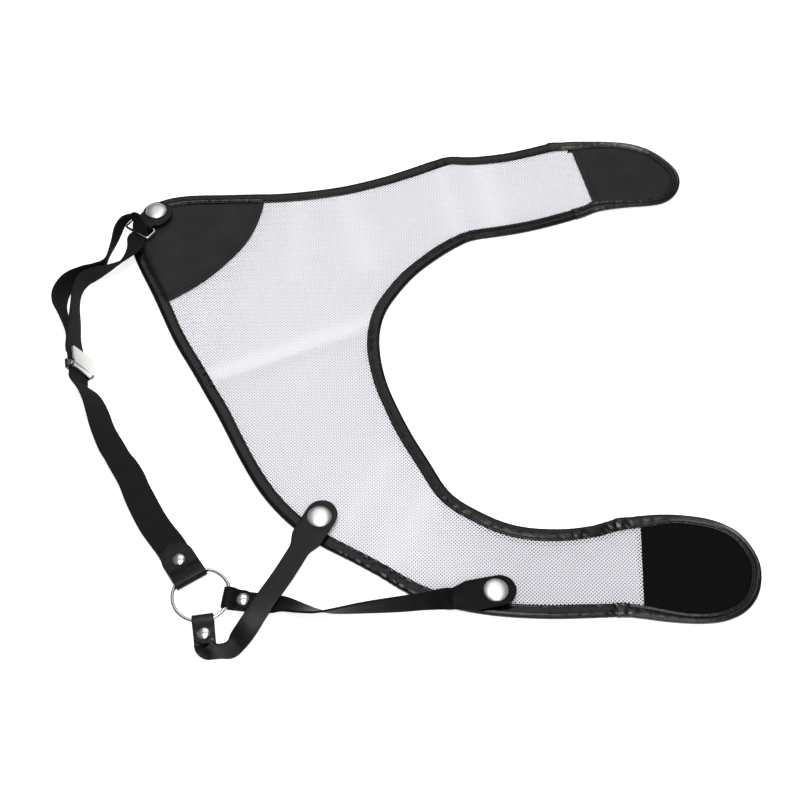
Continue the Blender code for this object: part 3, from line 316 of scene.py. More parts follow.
def nearest_on_edge(points, block=4000):
    """Distance of each point to the closed edge, and the place along it."""
    near, place = np.empty(len(points)), np.empty(len(points))
    for i in range(0, len(points), block):
        gap = np.linalg.norm(points[i : i + block, None, :] - EDGE[None, ::2, :], axis=2)
        near[i : i + block] = gap.min(axis=1)
        place[i : i + block] = gap.argmin(axis=1) * 2 / len(EDGE) * EDGE_LENGTH
    return near, place


def place_on_edge(point):
    return float(nearest_on_edge(np.array([point], float))[1][0])


def inside_edge(points):
    """Which points the closed edge goes round: a ray to +x crosses it an odd number of times."""
    a, b = EDGE[::3], np.roll(EDGE[::3], -1, axis=0)
    odd = np.zeros(len(points), bool)
    for (ax, ay), (bx, by) in zip(a, b):
        crosses = (ay > points[:, 1]) != (by > points[:, 1])
        with np.errstate(divide="ignore", invalid="ignore"):
            odd ^= crosses & (points[:, 0] < (bx - ax) * (points[:, 1] - ay) / (by - ay) + ax)
    return odd


# ---------------- the seams, where the tabs fold
SEAMS = {"upper_tab": np.array([OUTER_EDGE[0], ARMHOLE_EDGE[-1]]),
         "lower_tab": np.array([ARMHOLE_EDGE[0], OUTER_EDGE[-1]])}
TAB_SPANS = {"upper_tab": (UPPER_SEAM, EDGE_LENGTH), "lower_tab": (LOWER_SEAM, LOWER_SEAM_BACK)}
FOLD_REACH = 0.008  # how far a seam's bend would reach on each side; bend_at works out its ends from it and leaves them unused


def seam_out(tab):
    """The unit vector out of the panel into a tab, square to its seam."""
    return left_of(unit(SEAMS[tab][1] - SEAMS[tab][0]))


def past_seam(points, tab):
    """How far each point lies out of the panel, past the tab's seam."""
    return (points - SEAMS[tab][0]) @ seam_out(tab)


def bend_at(piece, tab):
    """Bakes a piece's transform into its mesh. Where it would bend across the tab's seam is worked
    out and left unused.
    """
    middle, reach = SEAMS[tab].mean(axis=0), FOLD_REACH * seam_out(tab)
    start, end = ((*(place + MOVE[:2]), BINDING_TOP) for place in (middle - reach, middle + reach))
    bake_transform(piece)
    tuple(start)
    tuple(end)


def near_tab(s, tab, lead, reach):
    """0 on the panel and 1 on the tab: it rises over the distance reach, from lead before each of
    the tab's two seams."""
    seam, back = TAB_SPANS[tab]
    s = s % EDGE_LENGTH
    rise = [np.minimum(at - seam + lead, back + lead - at) for at in (s, s + EDGE_LENGTH)]
    return ease(np.maximum(*rise) / reach)


def near_tabs(s, lead, reach):
    """The same for both tabs."""
    return np.maximum(near_tab(s, "lower_tab", lead, reach), near_tab(s, "upper_tab", lead, reach))


def bell(s, at, spread):
    """1 at the place at and falling to nothing about spread away, along the closed edge."""
    away = (s - at + EDGE_LENGTH / 2) % EDGE_LENGTH - EDGE_LENGTH / 2
    return np.exp(-((away / spread) ** 2))


# ---------------- making meshes
RING_BOX = np.array([list(corner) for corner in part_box("o_ring")])
MOVE = np.array([*(RING_BOX.mean(axis=0)[:2] - RING_CENTRE), 0.0])
UP = np.array([0, 0, 1.0])


def add_object(name, data):
    """An object of the data, in the scene."""
    made = bpy.data.objects.new(name, data)
    bpy.context.scene.collection.objects.link(made)
    return made


def shade_smooth(mesh, sharp):
    """Smooth shading, but for edges past the angle sharp."""
    mesh.shade_smooth()
    mesh.set_sharp_from_angle(angle=math.radians(sharp))


def make_piece(name, points, face_sets, finish, sharp=40.0):
    """One mesh object from a point array in the drawing's coordinates and arrays of equal faces."""
    points = np.asarray(points, float) + MOVE
    sizes = np.concatenate([np.full(len(f), f.shape[1]) for f in face_sets])
    corners = np.concatenate([np.asarray(f).reshape(-1) for f in face_sets])
    starts = np.concatenate([[0], np.cumsum(sizes)[:-1]])
    mesh = bpy.data.meshes.new(name)
    mesh.vertices.add(len(points))
    mesh.vertices.foreach_set("co", points.astype(np.float32).reshape(-1))
    mesh.loops.add(len(corners))
    mesh.loops.foreach_set("vertex_index", corners.astype(np.int32))
    mesh.polygons.add(len(sizes))
    mesh.polygons.foreach_set("loop_start", starts.astype(np.int32))
    mesh.update(calc_edges=True)
    mesh.validate()
    piece = add_object(name, mesh)
    mesh.materials.append(finish)
    shade_smooth(mesh, sharp)
    return piece


def face_outwards(piece):
    """Turns a closed piece's faces out."""
    work = bmesh.new()
    work.from_mesh(piece.data)
    bmesh.ops.recalc_face_normals(work, faces=work.faces)
    work.to_mesh(piece.data)
    work.free()
    return piece


def skin(count, around, closed=False):
    """Faces of a tube of count rings of around points, and of its two ends where it is open."""
    i = np.arange(count if closed else count - 1)[:, None]
    k = np.arange(around)[None, :]
    i, k, j, m = np.broadcast_arrays(i, k, (i + 1) % count, (k + 1) % around)
    sides = [i * around + k, i * around + m, j * around + m, j * around + k]
    sides = np.stack(sides, axis=-1).reshape(-1, 4)
    if closed:
        return [sides]
    end = np.arange(around)[None, :]
    return [sides, end[:, ::-1], (count - 1) * around + end]


def fans(count, around, hub, turn=1):
    """Triangles from a tube's first ring to the point hub and from its last ring to the next."""
    k = np.arange(around)
    k, m = (k, (k + 1) % around)[::turn]
    last = (count - 1) * around
    return np.concatenate([np.stack([k, m, 0 * k + hub], axis=1),
                           np.stack([last + m, last + k, 0 * k + hub + 1], axis=1)])


def tube(name, rings, finish, closed=False, sharp=40.0):
    """Skins rings of points, an array of (ring, point, xyz)."""
    rings = np.asarray(rings)
    faces = skin(rings.shape[0], rings.shape[1], closed)
    return face_outwards(make_piece(name, rings.reshape(-1, 3), faces, finish, sharp))


def turned(name, profile, centre, finish, steps=64):
    """A profile of (radius, height) turned about the upright line through centre: point (r, z) goes
    to (r cos a, r sin a, z). It starts and ends on that line or closes on itself."""
    profile = np.asarray(profile, float)
    body = profile[profile[:, 0] > 0]
    a = np.linspace(0, 2 * math.pi, steps, endpoint=False)
    r = body[:, :1]
    points = np.stack([r * np.cos(a), r * np.sin(a), body[:, 1:] + 0 * a], axis=-1).reshape(-1, 3)
    if len(body) == len(profile):
        faces = skin(len(body), steps, True)
    else:
        faces = [skin(len(body), steps)[0], fans(len(body), steps, len(points))]
        points = np.vstack([points, [[0, 0, profile[0, 1]], [0, 0, profile[-1, 1]]]])
    points = points + np.array([centre[0], centre[1], 0])
    return face_outwards(make_piece(name, points, faces, finish, 35.0))


def wire(name, path, radius, finish, around):
    """Round wire on a closed flat path: at each point a circle square to the path."""
    side = np.cross(along_loop(path), UP)
    a = np.linspace(0, 2 * math.pi, around, endpoint=False)[None, :, None]
    rings = path[:, None, :] + radius * (side[:, None, :] * np.cos(a) + UP * np.sin(a))
    return tube(name, rings, finish, True)


def carry(piece, body, node, slot):
    """Puts a finished piece on its body and hides the node that it stands for. A tab's pieces go on
    no
    body: their transforms are only baked."""
    if body in SEAMS:
        bend_at(piece, body)
    else:
        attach(piece, body)
    if node:
        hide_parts(node)


# A stitch is a spindle: (share of its length, share of its thread's radius) from end to end.
SPINDLE = np.array([(-0.5, 0.05), (-0.42, 0.75), (-0.2, 1.0), (0.2, 1.0), (0.42, 0.75),
                    (0.5, 0.05)])


def stitches(name, line, finish):
    """Thread along a line: spindles of six points round, sunk at their ends by three radii times
    the cube of the distance, in lengths, from the middle."""
    sizes = bpy.context.scene.guard_sizes
    length, radius = sizes.stitch_length, sizes.thread
    share, thick = SPINDLE.T
    a = np.radians(np.arange(6) * 60.0)
    along = lengths_along(line)
    count = max(1, int(along[-1] // (length + sizes.stitch_gap)))
    mid = (np.arange(count) + 0.5) * along[-1] / count
    place = lambda s: np.stack([np.interp(s, along, line[:, k]) for k in range(3)], axis=1)
    t = unit(place(mid + length / 2) - place(mid - length / 2))
    ring = (place(mid)[:, None, :] + t[:, None, :] * share[:, None] * length
            - UP * (np.abs(share) ** 3 * 3 * radius)[:, None])
    offset = np.cross(t, UP)[:, None, None, :] * np.cos(a)[:, None] + UP * np.sin(a)[:, None]
    rings = ring[:, :, None, :] + offset * radius * thick[:, None, None]
    shift = (np.arange(count) * 36)[:, None, None]
    faces = [(f[None] + shift).reshape(-1, f.shape[1]) for f in skin(6, 6)]
    return face_outwards(make_piece(name, rings.reshape(-1, 3), faces, finish))


# ---------------- finishes
def fill(node, values):
    """Sets a node's inputs by their names."""
    for name, value in values.items():
        node.inputs[name].default_value = value


def material(name, values):
    """A material, its nodes and links, and its shader with the values that are given."""
    made = bpy.data.materials.new(name)
    made.use_nodes = True
    shader = made.node_tree.nodes["Principled BSDF"]
    fill(shader, values)
    return made, made.node_tree.nodes, made.node_tree.links, shader


class Finish:
    """A material whose patterns lie on its Object coordinates."""

    low, high = 0.3, 0.7  # the span of a pattern that is used

    def __init__(self, name, colour, roughness, values):
        self.colour, self.roughness = colour, roughness
        values = {"Base Color": (*colour, 1), "Roughness": roughness, **values}
        self.made, self.nodes, self.links, self.shader = material(name, values)
        self.where = self.nodes.new("ShaderNodeTexCoord").outputs["Object"]

    def noise(self, scale, detail):
        """Clouds with about scale features to the metre."""
        pattern = self.nodes.new("ShaderNodeTexNoise")
        fill(pattern, {"Detail": detail, "Scale": scale})
        self.links.new(self.where, pattern.inputs["Vector"])
        return pattern.outputs["Fac"]

    def cells(self, scale):
        """Cells, about scale to the metre, as the distance to the nearest wall."""
        pattern = self.nodes.new("ShaderNodeTexVoronoi")
        pattern.feature = "DISTANCE_TO_EDGE"
        fill(pattern, {"Scale": scale})
        self.links.new(self.where, pattern.inputs["Vector"])
        return pattern.outputs["Distance"]

    def bumps(self, height, distance, strength=1.0, under=None):
        """Adds a bump from a height pattern, over an earlier bump where one is given."""
        bump = self.nodes.new("ShaderNodeBump")
        fill(bump, {"Distance": distance, "Strength": strength})
        self.links.new(height, bump.inputs["Height"])
        if under:
            self.links.new(under, bump.inputs["Normal"])
        self.links.new(bump.outputs["Normal"], self.shader.inputs["Normal"])
        return bump.outputs["Normal"]

    def tint(self, pattern, low, high):
        """Colours the shader between the colour times low and times high, by a pattern."""
        ramp = self.nodes.new("ShaderNodeValToRGB")
        for stop, at, factor in zip(ramp.color_ramp.elements, (self.low, self.high), (low, high)):
            stop.position = at
            stop.color = (*(min(1.0, c * factor) for c in self.colour), 1)
        self.links.new(pattern, ramp.inputs["Fac"])
        self.links.new(ramp.outputs["Color"], self.shader.inputs["Base Color"])

    def roughen(self, pattern, less, more):
        """Roughness from less below to more above the finish's own, by a pattern."""
        span = self.nodes.new("ShaderNodeMapRange")
        fill(span, {"From Min": self.low, "From Max": self.high,
                    "To Min": self.roughness - less, "To Max": self.roughness + more})
        self.links.new(pattern, span.inputs["Value"])
        self.links.new(span.outputs["Result"], self.shader.inputs["Roughness"])


def leather(name, colour, roughness, shine, pores=900.0, depth=0.00012):
    """Smooth chrome-tanned leather: fine pores over soft creases, a little uneven in shine."""
    finish = Finish(name, colour, roughness, {"Specular IOR Level": shine})
    broad = finish.noise(55.0, 4.0)
    finish.tint(broad, 0.82, 1.2)
    finish.roughen(broad, 0.05, 0.06)
    creases = finish.bumps(finish.noise(260.0, 4.0), depth * 1.6)
    finish.bumps(finish.cells(pores), depth, 0.6, creases)
    return finish.made


def cloth(name, colour, roughness, shine, sheen, scale, depth, uneven=0.25):
    """Matt fibre: fine lint in colour and height, with a soft sheen."""
    finish = Finish(name, colour, roughness, {
        "Specular IOR Level": shine, "Sheen Weight": sheen, "Sheen Roughness": 0.5})
    lint = finish.noise(scale, 6.0)
    finish.tint(lint, 1 - uneven, 1 + uneven)
    finish.bumps(lint, depth)
    return finish.made


def plated(name, colour, roughness):
    """Satin plating: brushed so finely that only the shine wavers."""
    finish = Finish(name, colour, roughness, {"Metallic": 1.0})
    cloud = finish.noise(90.0, 3.0)
    finish.tint(cloud, 0.97, 1.03)
    finish.roughen(cloud, 0.02, 0.03)
    finish.bumps(finish.noise(2600.0, 2.0), 0.000001)
    return finish.made


# Each finish: how it is made, the colour it takes and the values that follow.
RECIPES = {
    "mesh_yarn": (cloth, "mesh_white", 0.8, 0.2, 0.0, 3000.0, 0.00001, 0.012),
    "panel_leather": (leather, "leather_black", 0.46, 0.12),
    "strap_leather": (leather, "strap_black", 0.36, 0.17, 1100.0),
    "strap_flesh_side": (leather, "strap_black", 0.42, 0.05, 1100.0),
    "binding_leather": (leather, "binding_black", 0.19, 0.20, 700.0, 0.00010),
    "tab_binding_leather": (leather, "binding_black", 0.24, 0.42, 700.0, 0.00014),
    "elastic_yarn": (cloth, "elastic_black", 0.85, 0.15, 0.03, 1500.0, 0.00010),
    "pile": (cloth, "pile_black", 0.95, 0.04, 0.0, 1300.0, 0.0003),
    "sewing_thread": (cloth, "thread_grey", 0.6, 0.3, 0.1, 3000.0, 0.00002),
    "dark_thread": (cloth, "thread_black", 0.6, 0.2, 0.1, 3000.0, 0.00002),
    "nickel": (plated, "nickel", 0.2),
    # painted shade and painted reflection: a dark copy of the nickel plating for the adjuster's
    # frame, which lies under its flap
    "shaded_nickel": (plated, "nickel_shaded", 0.22),
    "pale_nickel": (plated, "nickel_pale", 0.40),
}
LOOKS = {}


def look(name):
    """The finish of that name in the colours that the panel holds, made once."""
    if name not in LOOKS:
        recipe, colour_name, *values = RECIPES[name]
        colours = bpy.context.scene.guard_colours
        LOOKS[name] = recipe(name, getattr(colours, colour_name), *values)
    return LOOKS[name]


# ---------------- heights that the layers come to
PANEL_LOW = BINDING_LEATHER + GAP
PANEL_MIDDLE = PANEL_LOW + MESH_THICKNESS / 2
PANEL_TOP = PANEL_LOW + MESH_THICKNESS
FACING_LOW = PANEL_TOP + GAP
FACING_TOP = FACING_LOW + FACING_LEATHER
BINDING_TOP = FACING_TOP
UPPER_BINDING_TOP = FACING_TOP + GAP + BINDING_LEATHER
UPPER_BINDING_LOW = UPPER_BINDING_TOP - 0.0027
LOOP_TOP = FACING_LOW + 0.0010
HOOK_TOP = 0.0022
BACKING_TOP = PANEL_LOW + 0.0012
STRAP_LOW = RIVET_FLANGE_THICKNESS + GAP + STRAP_LEATHER / 2
RING_RADIUS = (RING_DIAMETER - RING_WIRE) / 2
RING_EDGE = RING_RADIUS + RING_WIRE / 2
RING_HEIGHT = STRAP_LOW + STRAP_LEATHER / 2 + GAP + RING_WIRE / 2
FLAP_HEIGHT = STRAP_LOW + STRAP_LEATHER + GAP
SOCKET_LIFT = STUD_BASE_THICKNESS + GAP
PADDLE_LIFT = SOCKET_LIFT + SOCKET_HEIGHT + GAP
CAP_LIFT = PADDLE_LIFT + STRAP_LEATHER + GAP
ELASTIC_LOW = STRAP_LOW + STRAP_LEATHER / 2 + GAP + ELASTIC_THICKNESS / 2
TAB_FLAP_HEIGHT = ELASTIC_LOW + ELASTIC_THICKNESS / 2 + GAP + STRAP_LEATHER / 2
STRAP_UNDER_PIN = ELASTIC_THICKNESS / 2 + GAP + 0.0020
BAR_HEIGHT = BINDING_TOP + 2 * GAP + STRAP_LEATHER + LOOP_WIRE / 2
TAB_TURN = LOOP_WIRE / 2 + GAP + STRAP_LEATHER / 2
ELASTIC_TURN = LOOP_WIRE / 2 + 1.6 * GAP + ELASTIC_THICKNESS / 2
STUDS = {"corner": (CORNER_STUD, FACING_TOP + GAP), "short_strap": (SHORT_STRAP_STUD, FACING_LOW),
         "long_strap": (LONG_STRAP_STUD, FACING_LOW)}

# ---------------- the folded binding
# Its section: (a, b, from, c, d) is the point at depth a + b * width from the outer edge, and c
# above the binding's top (1), middle (0.5) or underside (0), plus d where it is sewn in a channel.
BINDING_SECTION = np.array([
    (0.0, 0, 1, -0.00155, 0), (0.00006, 0, 1, -0.00100, 0), (0.00026, 0, 1, -0.00056, 0),
    (0.00062, 0, 1, -0.00030, 0), (0.00115, 0, 1, -0.00013, 0.00004),
    (0.00175, 0, 1, 0.00002, 0.00012), (0.0004, 0.25, 1, 0.00014, 0.00020),
    (0.0, 0.42, 1, 0.00008, 0.00010), (-0.0029, 1, 1, -0.00018, 0.0),
    (-0.0023, 1, 1, -0.00024, -0.00022), (-0.0019, 1, 1, -0.00030, -0.00050),
    (-0.0015, 1, 1, -0.00028, -0.00044), (-0.0010, 1, 1, -0.00022, -0.00002),
    (-0.00052, 1, 1, -0.00028, 0.00010), (-0.00014, 1, 1, -0.00050, 0), (0.0, 1, 1, -0.00078, 0),
    (-0.0001, 1, 1, -0.00108, 0), (0.0013, 0, 1, -0.00110, 0), (0.0010, 0, 0.5, 0.0, 0),
    (0.0013, 0, 0, 0.00085, 0), (0.0021, 1, 0, 0.00085, 0), (0.0022, 1, 0, 0.0006, 0),
    (0.0021, 1, 0, 0.0001, 0), (0.0018, 1, 0, 0.0, 0), (0.0012, 0, 0, 0.0, 0),
    (0.0005, 0, 0, 0.00012, 0), (0.00012, 0, 0, 0.00045, 0),
])
STITCH_ROW = 10  # the section's point at the bottom of the stitched groove
THREAD_LIFT = 0.00012  # the thread's middle lies this high above it
BINDING_STEP = 0.0009  # between two sections
PUCKER_DEPTH = 0.00009  # everywhere, and more in these places:
# x, y, how far along the edge, how deep.
PUCKERS = [(-0.0120, -0.1320, 0.020, 0.00045), (0.1260, -0.0930, 0.018, 0.00050),
           (0.0500, 0.1380, 0.014, 0.00025), (0.0300, 0.2200, 0.016, 0.00030),
           (-0.1890, 0.1640, 0.020, 0.00025), (0.1330, -0.1578, 0.012, 0.00035),
           (0.0350, -0.0750, 0.022, 0.00022), (0.1340, 0.1610, 0.012, 0.00025),
           (-0.1330, 0.0120, 0.012, 0.00040), (-0.0140, 0.0500, 0.014, 0.00030)]
BAND_SPLIT = 0.0155  # a tab's binding starts this far before its seam
LAP = 0.0025  # a panel's binding runs this far on under a tab's
LAP_STEP = 0.00045  # and the tab's stands out by this
LAP_UP, LAP_OUT = 0.9, 0.6  # the shares of that step that go up and in across the binding
LAP_REACH = 0.014  # it lasts for so long
UPPER_LEAD, UPPER_RISE = 0.010, 0.018  # before the upper tab it comes up, over this distance
PATCH_RISE = 0.0004  # over the corner patch it stands this much higher
UNDERSIDE = 0.0001  # its height above the floor, and a panel's binding rises at its ends by:
END_RISE, END_REACH = 0.0002, 0.010
PATCH_MARGIN, PATCH_EASE, CHANNEL_EASE = 0.004, 0.010, 0.012
FAINT, PATCH_CHANNEL, TAB_CHANNEL = 0.12, 0.9, 1.15  # depths of the stitched channel
WAVE_LENGTH, SLOPE_LENGTH = 0.0053, 0.0088  # of the puckers, along the edge
OUTER_SHARE = 0.3  # of the binding: here a pucker moves the edge by EDGE_PUCKER of its depth
EDGE_PUCKER = 0.4
SWAY = 0.00010  # how much the top rises and falls all the way round
BANDS = (  # the piece, its node, where it starts and ends, and its body
    ("outer_edge_band", "outer_edge_binding",
     BAND_SPLIT - LAP, LOWER_SEAM - BAND_SPLIT + LAP, "guard"),
    ("lower_tab_band", "lower_tab_binding",
     LOWER_SEAM - BAND_SPLIT, LOWER_SEAM_BACK + BAND_SPLIT, "lower_tab"),
    ("armhole_band", "armhole_binding",
     LOWER_SEAM_BACK + BAND_SPLIT - LAP, UPPER_SEAM - BAND_SPLIT + LAP, "guard"),
    ("upper_tab_band", "upper_tab_binding",
     UPPER_SEAM - BAND_SPLIT, EDGE_LENGTH + BAND_SPLIT, "upper_tab"),
)


def edge_ripple(s, seed, counts):
    """Sines with whole counts of waves round the closed edge, so that it meets itself."""
    phase = np.random.default_rng(seed).uniform(0, 2 * math.pi, len(counts))
    return sum(np.sin(2 * math.pi * n * s / EDGE_LENGTH + p) / (k + 1.5)
               for k, (n, p) in enumerate(zip(counts, phase)))


def binding_width(s):
    """Even on the panel and narrower round the end of a tab, a little uneven all the way."""
    tab = near_tabs(s, 0, TAB_BINDING_EASE)
    wander = bpy.context.scene.guard_sizes.binding_wander * edge_ripple(s, 3, (17, 29, 53))
    return BINDING_WIDTH - tab * (BINDING_WIDTH - TAB_BINDING_WIDTH) + wander


def channels(s):
    """How much of each place lies beside the corner patch, and how deep the binding's stitched
    channel is there: full beside the patch and round the tabs, and faint elsewhere."""
    start, end = place_on_edge(PATCH_ARC[0]), place_on_edge(PATCH_ARC[-1])
    at = s % EDGE_LENGTH
    patch = (ease((at - start + PATCH_MARGIN) / PATCH_EASE)
             * ease((end + PATCH_MARGIN - at) / PATCH_EASE))
    tabs = near_tabs(s, BAND_SPLIT, CHANNEL_EASE)
    return patch, np.maximum(FAINT, np.maximum(PATCH_CHANNEL * patch, TAB_CHANNEL * tabs))


def slanting_sine(s, depth, lean, length, sway, seed, counts):
    """From 0 to 1 and back in each length along the edge, its crests leaning with the depth."""
    phase = sway * edge_ripple(s, seed, counts)
    return 0.5 + 0.5 * np.sin(2 * math.pi * (s + lean * depth) / length + phase)


def binding_rings(first, last, over):
    """Sections of the binding from one place on the edge to another. Its leather is puckered by two
    slanting sines, deepest at the places in PUCKERS. A tab's binding laps over the panel's at its
    ends, where it stands out by over; the panel's runs on beneath it."""
    s, at, inward = edge_rows(first, last, BINDING_STEP)
    upper = near_tab(s, "upper_tab", UPPER_LEAD, UPPER_RISE)
    over_patch, channel = channels(s)
    to_end = np.minimum(s - first, last - s)
    lap = over * (1 - ease(to_end / LAP_REACH))
    raised = 0 if over > 0 else END_RISE * (1 - ease(to_end / END_REACH))
    high = (BINDING_TOP + upper * (UPPER_BINDING_TOP - BINDING_TOP)
            + PATCH_RISE * over_patch + LAP_UP * lap)
    low = UNDERSIDE + upper * UPPER_BINDING_LOW + raised
    a, b, level, c, sewn = BINDING_SECTION.T
    depth = a + np.outer(binding_width(s) + LAP_OUT * lap, b)
    z = np.outer(high, level) + np.outer(low, 1 - level) + c + np.outer(channel, sewn)
    share = depth / BINDING_WIDTH
    deep = PUCKER_DEPTH + sum(d * bell(s, place_on_edge((x, y)), spread)
                              for x, y, spread, d in PUCKERS)
    s, deep, lap = s[:, None], deep[:, None], lap[:, None]
    wave = slanting_sine(s, depth, 0.8, WAVE_LENGTH, 2.6, 5, (61, 97))
    slope = slanting_sine(s, depth, -0.5, SLOPE_LENGTH, 2.1, 6, (71, 43))
    sink = deep * (wave * slope * 1.3 * np.clip(share * 1.6, 0, 1)
                   + 0.3 * slope * np.clip(1 - share, 0, 1))
    top = level == 1
    z = z - top * sink + top * SWAY * edge_ripple(s, 7, (23, 37))
    depth = depth + (EDGE_PUCKER * deep * wave - lap) * (share < OUTER_SHARE)
    point = at[:, None, :] + inward[:, None, :] * depth[:, :, None]
    return np.concatenate([point, z[:, :, None]], axis=2)


def build_bindings():
    for name, node, first, last, body in BANDS:
        lap, finish, thread = 0.0, "binding_leather", "dark_thread"
        if body in SEAMS:
            lap, finish, thread = LAP_STEP, "tab_binding_leather", "sewing_thread"
        rings = binding_rings(first, last, lap)
        groove = spaced(rings[:, STITCH_ROW] + THREAD_LIFT * UP)
        band = tube(name, rings, look(finish), sharp=60)
        sewn = stitches(f"{name}_stitching", groove, look(thread))
        carry(band, body, node, "black_binding")
        carry(sewn, body, None, "black_binding")


# ---------------- the perforated panel
MESH_MIDDLE = PANEL_MIDDLE + 0.0001
MESH_INSET = 0.0040  # its cut edge lies this deep under the binding
MESH_RUN_UNDER = 0.0050  # and runs this far under a tab's facing
MESH_SPAN = 0.36  # the grid of its cells covers the panel
MESH_ORIGIN = np.array([0.0, 0.03])
MESH_END = 0.022  # each end that bends with a tab is this long
MESH_CUTS = (("mesh_upper", 0.115, 1), ("mesh_middle", 0.02, 0.115), ("mesh_lower", -0.075, 0.02),
             ("mesh_hem", -1, -0.075))  # the stretches between them, from one y to another
# Folds left from packing: both ends of each crest or valley, its height and its reach to each side.
CREASES = [((0.036, 0.221), (0.056, 0.140), 0.0012, 0.010),
           ((0.030, -0.070), (0.000, -0.140), 0.0010, 0.012),
           ((0.012, -0.060), (-0.020, -0.125), -0.0010, 0.006),
           ((0.062, 0.225), (0.076, 0.140), -0.0007, 0.009),
           ((-0.135, 0.009), (-0.0135, 0.062), -0.0013, 0.0055),
           ((-0.135, -0.012), (-0.0135, 0.040), 0.0010, 0.022)]
LONG_VALLEY = 4  # its row
ROUNDING = 0.0015  # of a crest or a valley
SOFT_WAVES = 0.0002  # how high the broad waves over the panel are
HELD, LET_GO = 0.006, 0.012  # flat this far from the edge, and free that much farther in
UPPER_SAG = 0.0006  # the panel above the long valley lies this much lower
SAG_REACH = 0.012  # which it comes to over this distance
LEAST_HEIGHT = -0.00125  # of its middle, from where its binding holds it: it meets the floor

# A hole's side as a share of its full size, and how it opens or closes in places.
HOLE_SHARE = 0.70
OPEN_DRAWN = 0.22  # towards the lower tab, where the cloth is drawn out
OPEN_AT_BINDING, BINDING_REACH = 0.16, 0.012
OPEN_AT_PATCH, PATCH_REACH = 0.15, 0.009
CLOSED_ABOVE = 0.03  # above the long valley
CLOSED_IN_FOLD, FOLD_AT, FOLD_SPREAD = 0.24, 0.0060, 0.0058  # just above the long valley's line
# Bands where the cloth hangs slack: x, y, the heading across the band, its reach and how much its
# holes close.
SLACK_BANDS = [(-0.0730, 0.1450, 0, 0.007, 0.08), (-0.0330, 0.1530, 15, 0.010, 0.12),
               (0.0330, 0.1900, 10, 0.007, 0.12), (0.0630, 0.1930, 10, 0.010, 0.16),
               (0.0100, -0.0860, -30, 0.012, 0.14), (-0.0250, -0.0780, -30, 0.008, 0.08)]
SLACK_LENGTH = 0.045  # of a band, to each side of its middle


def above_valley(points):
    """How far each point lies above the long valley, square to it."""
    a, b = (np.array(end) for end in CREASES[LONG_VALLEY][:2])
    return (points - a) @ left_of(b - a) / np.linalg.norm(b - a)


def slack_at(points, x, y, turn, reach, closes):
    """How much a band of slack cloth closes the holes: e^(-(distance / reach)^2) of the most."""
    within = np.linalg.norm(points - (x, y), axis=1) < SLACK_LENGTH
    return closes * np.exp(-((((points - (x, y)) @ heading(turn)) / reach) ** 2)) * within


def openness(points, near):
    """The share of its full size that a hole has: the cloth is drawn out towards the lower tab and
    beside its binding, slack above the long valley and closed up next to it."""
    above = above_valley(points)
    drawn = OPEN_DRAWN * ease((points[:, 0] - 0.01) / 0.07) * ease(-points[:, 1] / 0.1)
    to_patch = ((points[:, None, :] - PATCH_CURVE[None, :, :]) ** 2).sum(axis=2).min(axis=1)
    tight = np.maximum(OPEN_AT_BINDING * np.exp(-near / BINDING_REACH),
                       OPEN_AT_PATCH * np.exp(-np.sqrt(to_patch) / PATCH_REACH))
    slack = sum(slack_at(points, *band) for band in SLACK_BANDS)
    return (HOLE_SHARE + drawn + tight - slack - CLOSED_ABOVE * ease(above / SAG_REACH + 0.5)
            - CLOSED_IN_FOLD * np.exp(-(((above - FOLD_AT) / FOLD_SPREAD) ** 2)))


def panel_lift(points, near):
    """How far the panel rises or sags from the height its binding holds it at: each crease is a
    ridge or a valley of height e^(-distance / reach) with a rounded line, over broad soft waves and
    a sag above the longest valley. All of it falls to nothing at the binding."""
    lift = np.zeros(len(points))
    for a, b, height, reach in CREASES:
        a, b = np.array(a), np.array(b)
        d = unit(b - a)
        away = np.abs((points - a) @ left_of(d))
        along = (points - a) @ d / np.linalg.norm(b - a)
        ridge = np.exp(-(np.sqrt(away**2 + ROUNDING**2) - ROUNDING) / reach)
        lift += height * ridge * ease(along / 0.25 + 0.6) * ease((1 - along) / 0.25 + 0.6)
    lift -= UPPER_SAG * ease(above_valley(points) / SAG_REACH + 0.5)
    lift += SOFT_WAVES * np.sin(points[:, 0] * 150 + 0.6) * np.sin(points[:, 1] * 63 + 1.1)
    return np.maximum(lift * ease((near - HELD) / LET_GO), LEAST_HEIGHT)


def grid_place(u, v):
    """The place of a point of the mesh's grid, which is turned 45 degrees."""
    pitch = bpy.context.scene.guard_sizes.mesh_pitch
    return np.stack([u - v, u + v], axis=-1) * pitch / math.sqrt(2) + MESH_ORIGIN


def mesh_cells():
    """Rows and columns of the mesh's square cells whose middles lie on the panel, and the places
    of those middles."""
    n = int(MESH_SPAN / bpy.context.scene.guard_sizes.mesh_pitch)
    count = np.arange(-n, n)
    cells = np.stack([k.reshape(-1) for k in np.meshgrid(count, count, indexing="ij")])
    xy = grid_place(*cells)
    keep = ((xy > EDGE.min(axis=0)) & (xy < EDGE.max(axis=0))).all(axis=1)
    cells, xy = cells[:, keep], xy[keep]
    keep = inside_edge(xy)
    cells, xy = cells[:, keep], xy[keep]
    keep = nearest_on_edge(xy)[0] > MESH_INSET
    for tab in SEAMS:
        keep &= past_seam(xy, tab) < MESH_RUN_UNDER
    return (*cells[:, keep], xy[keep])


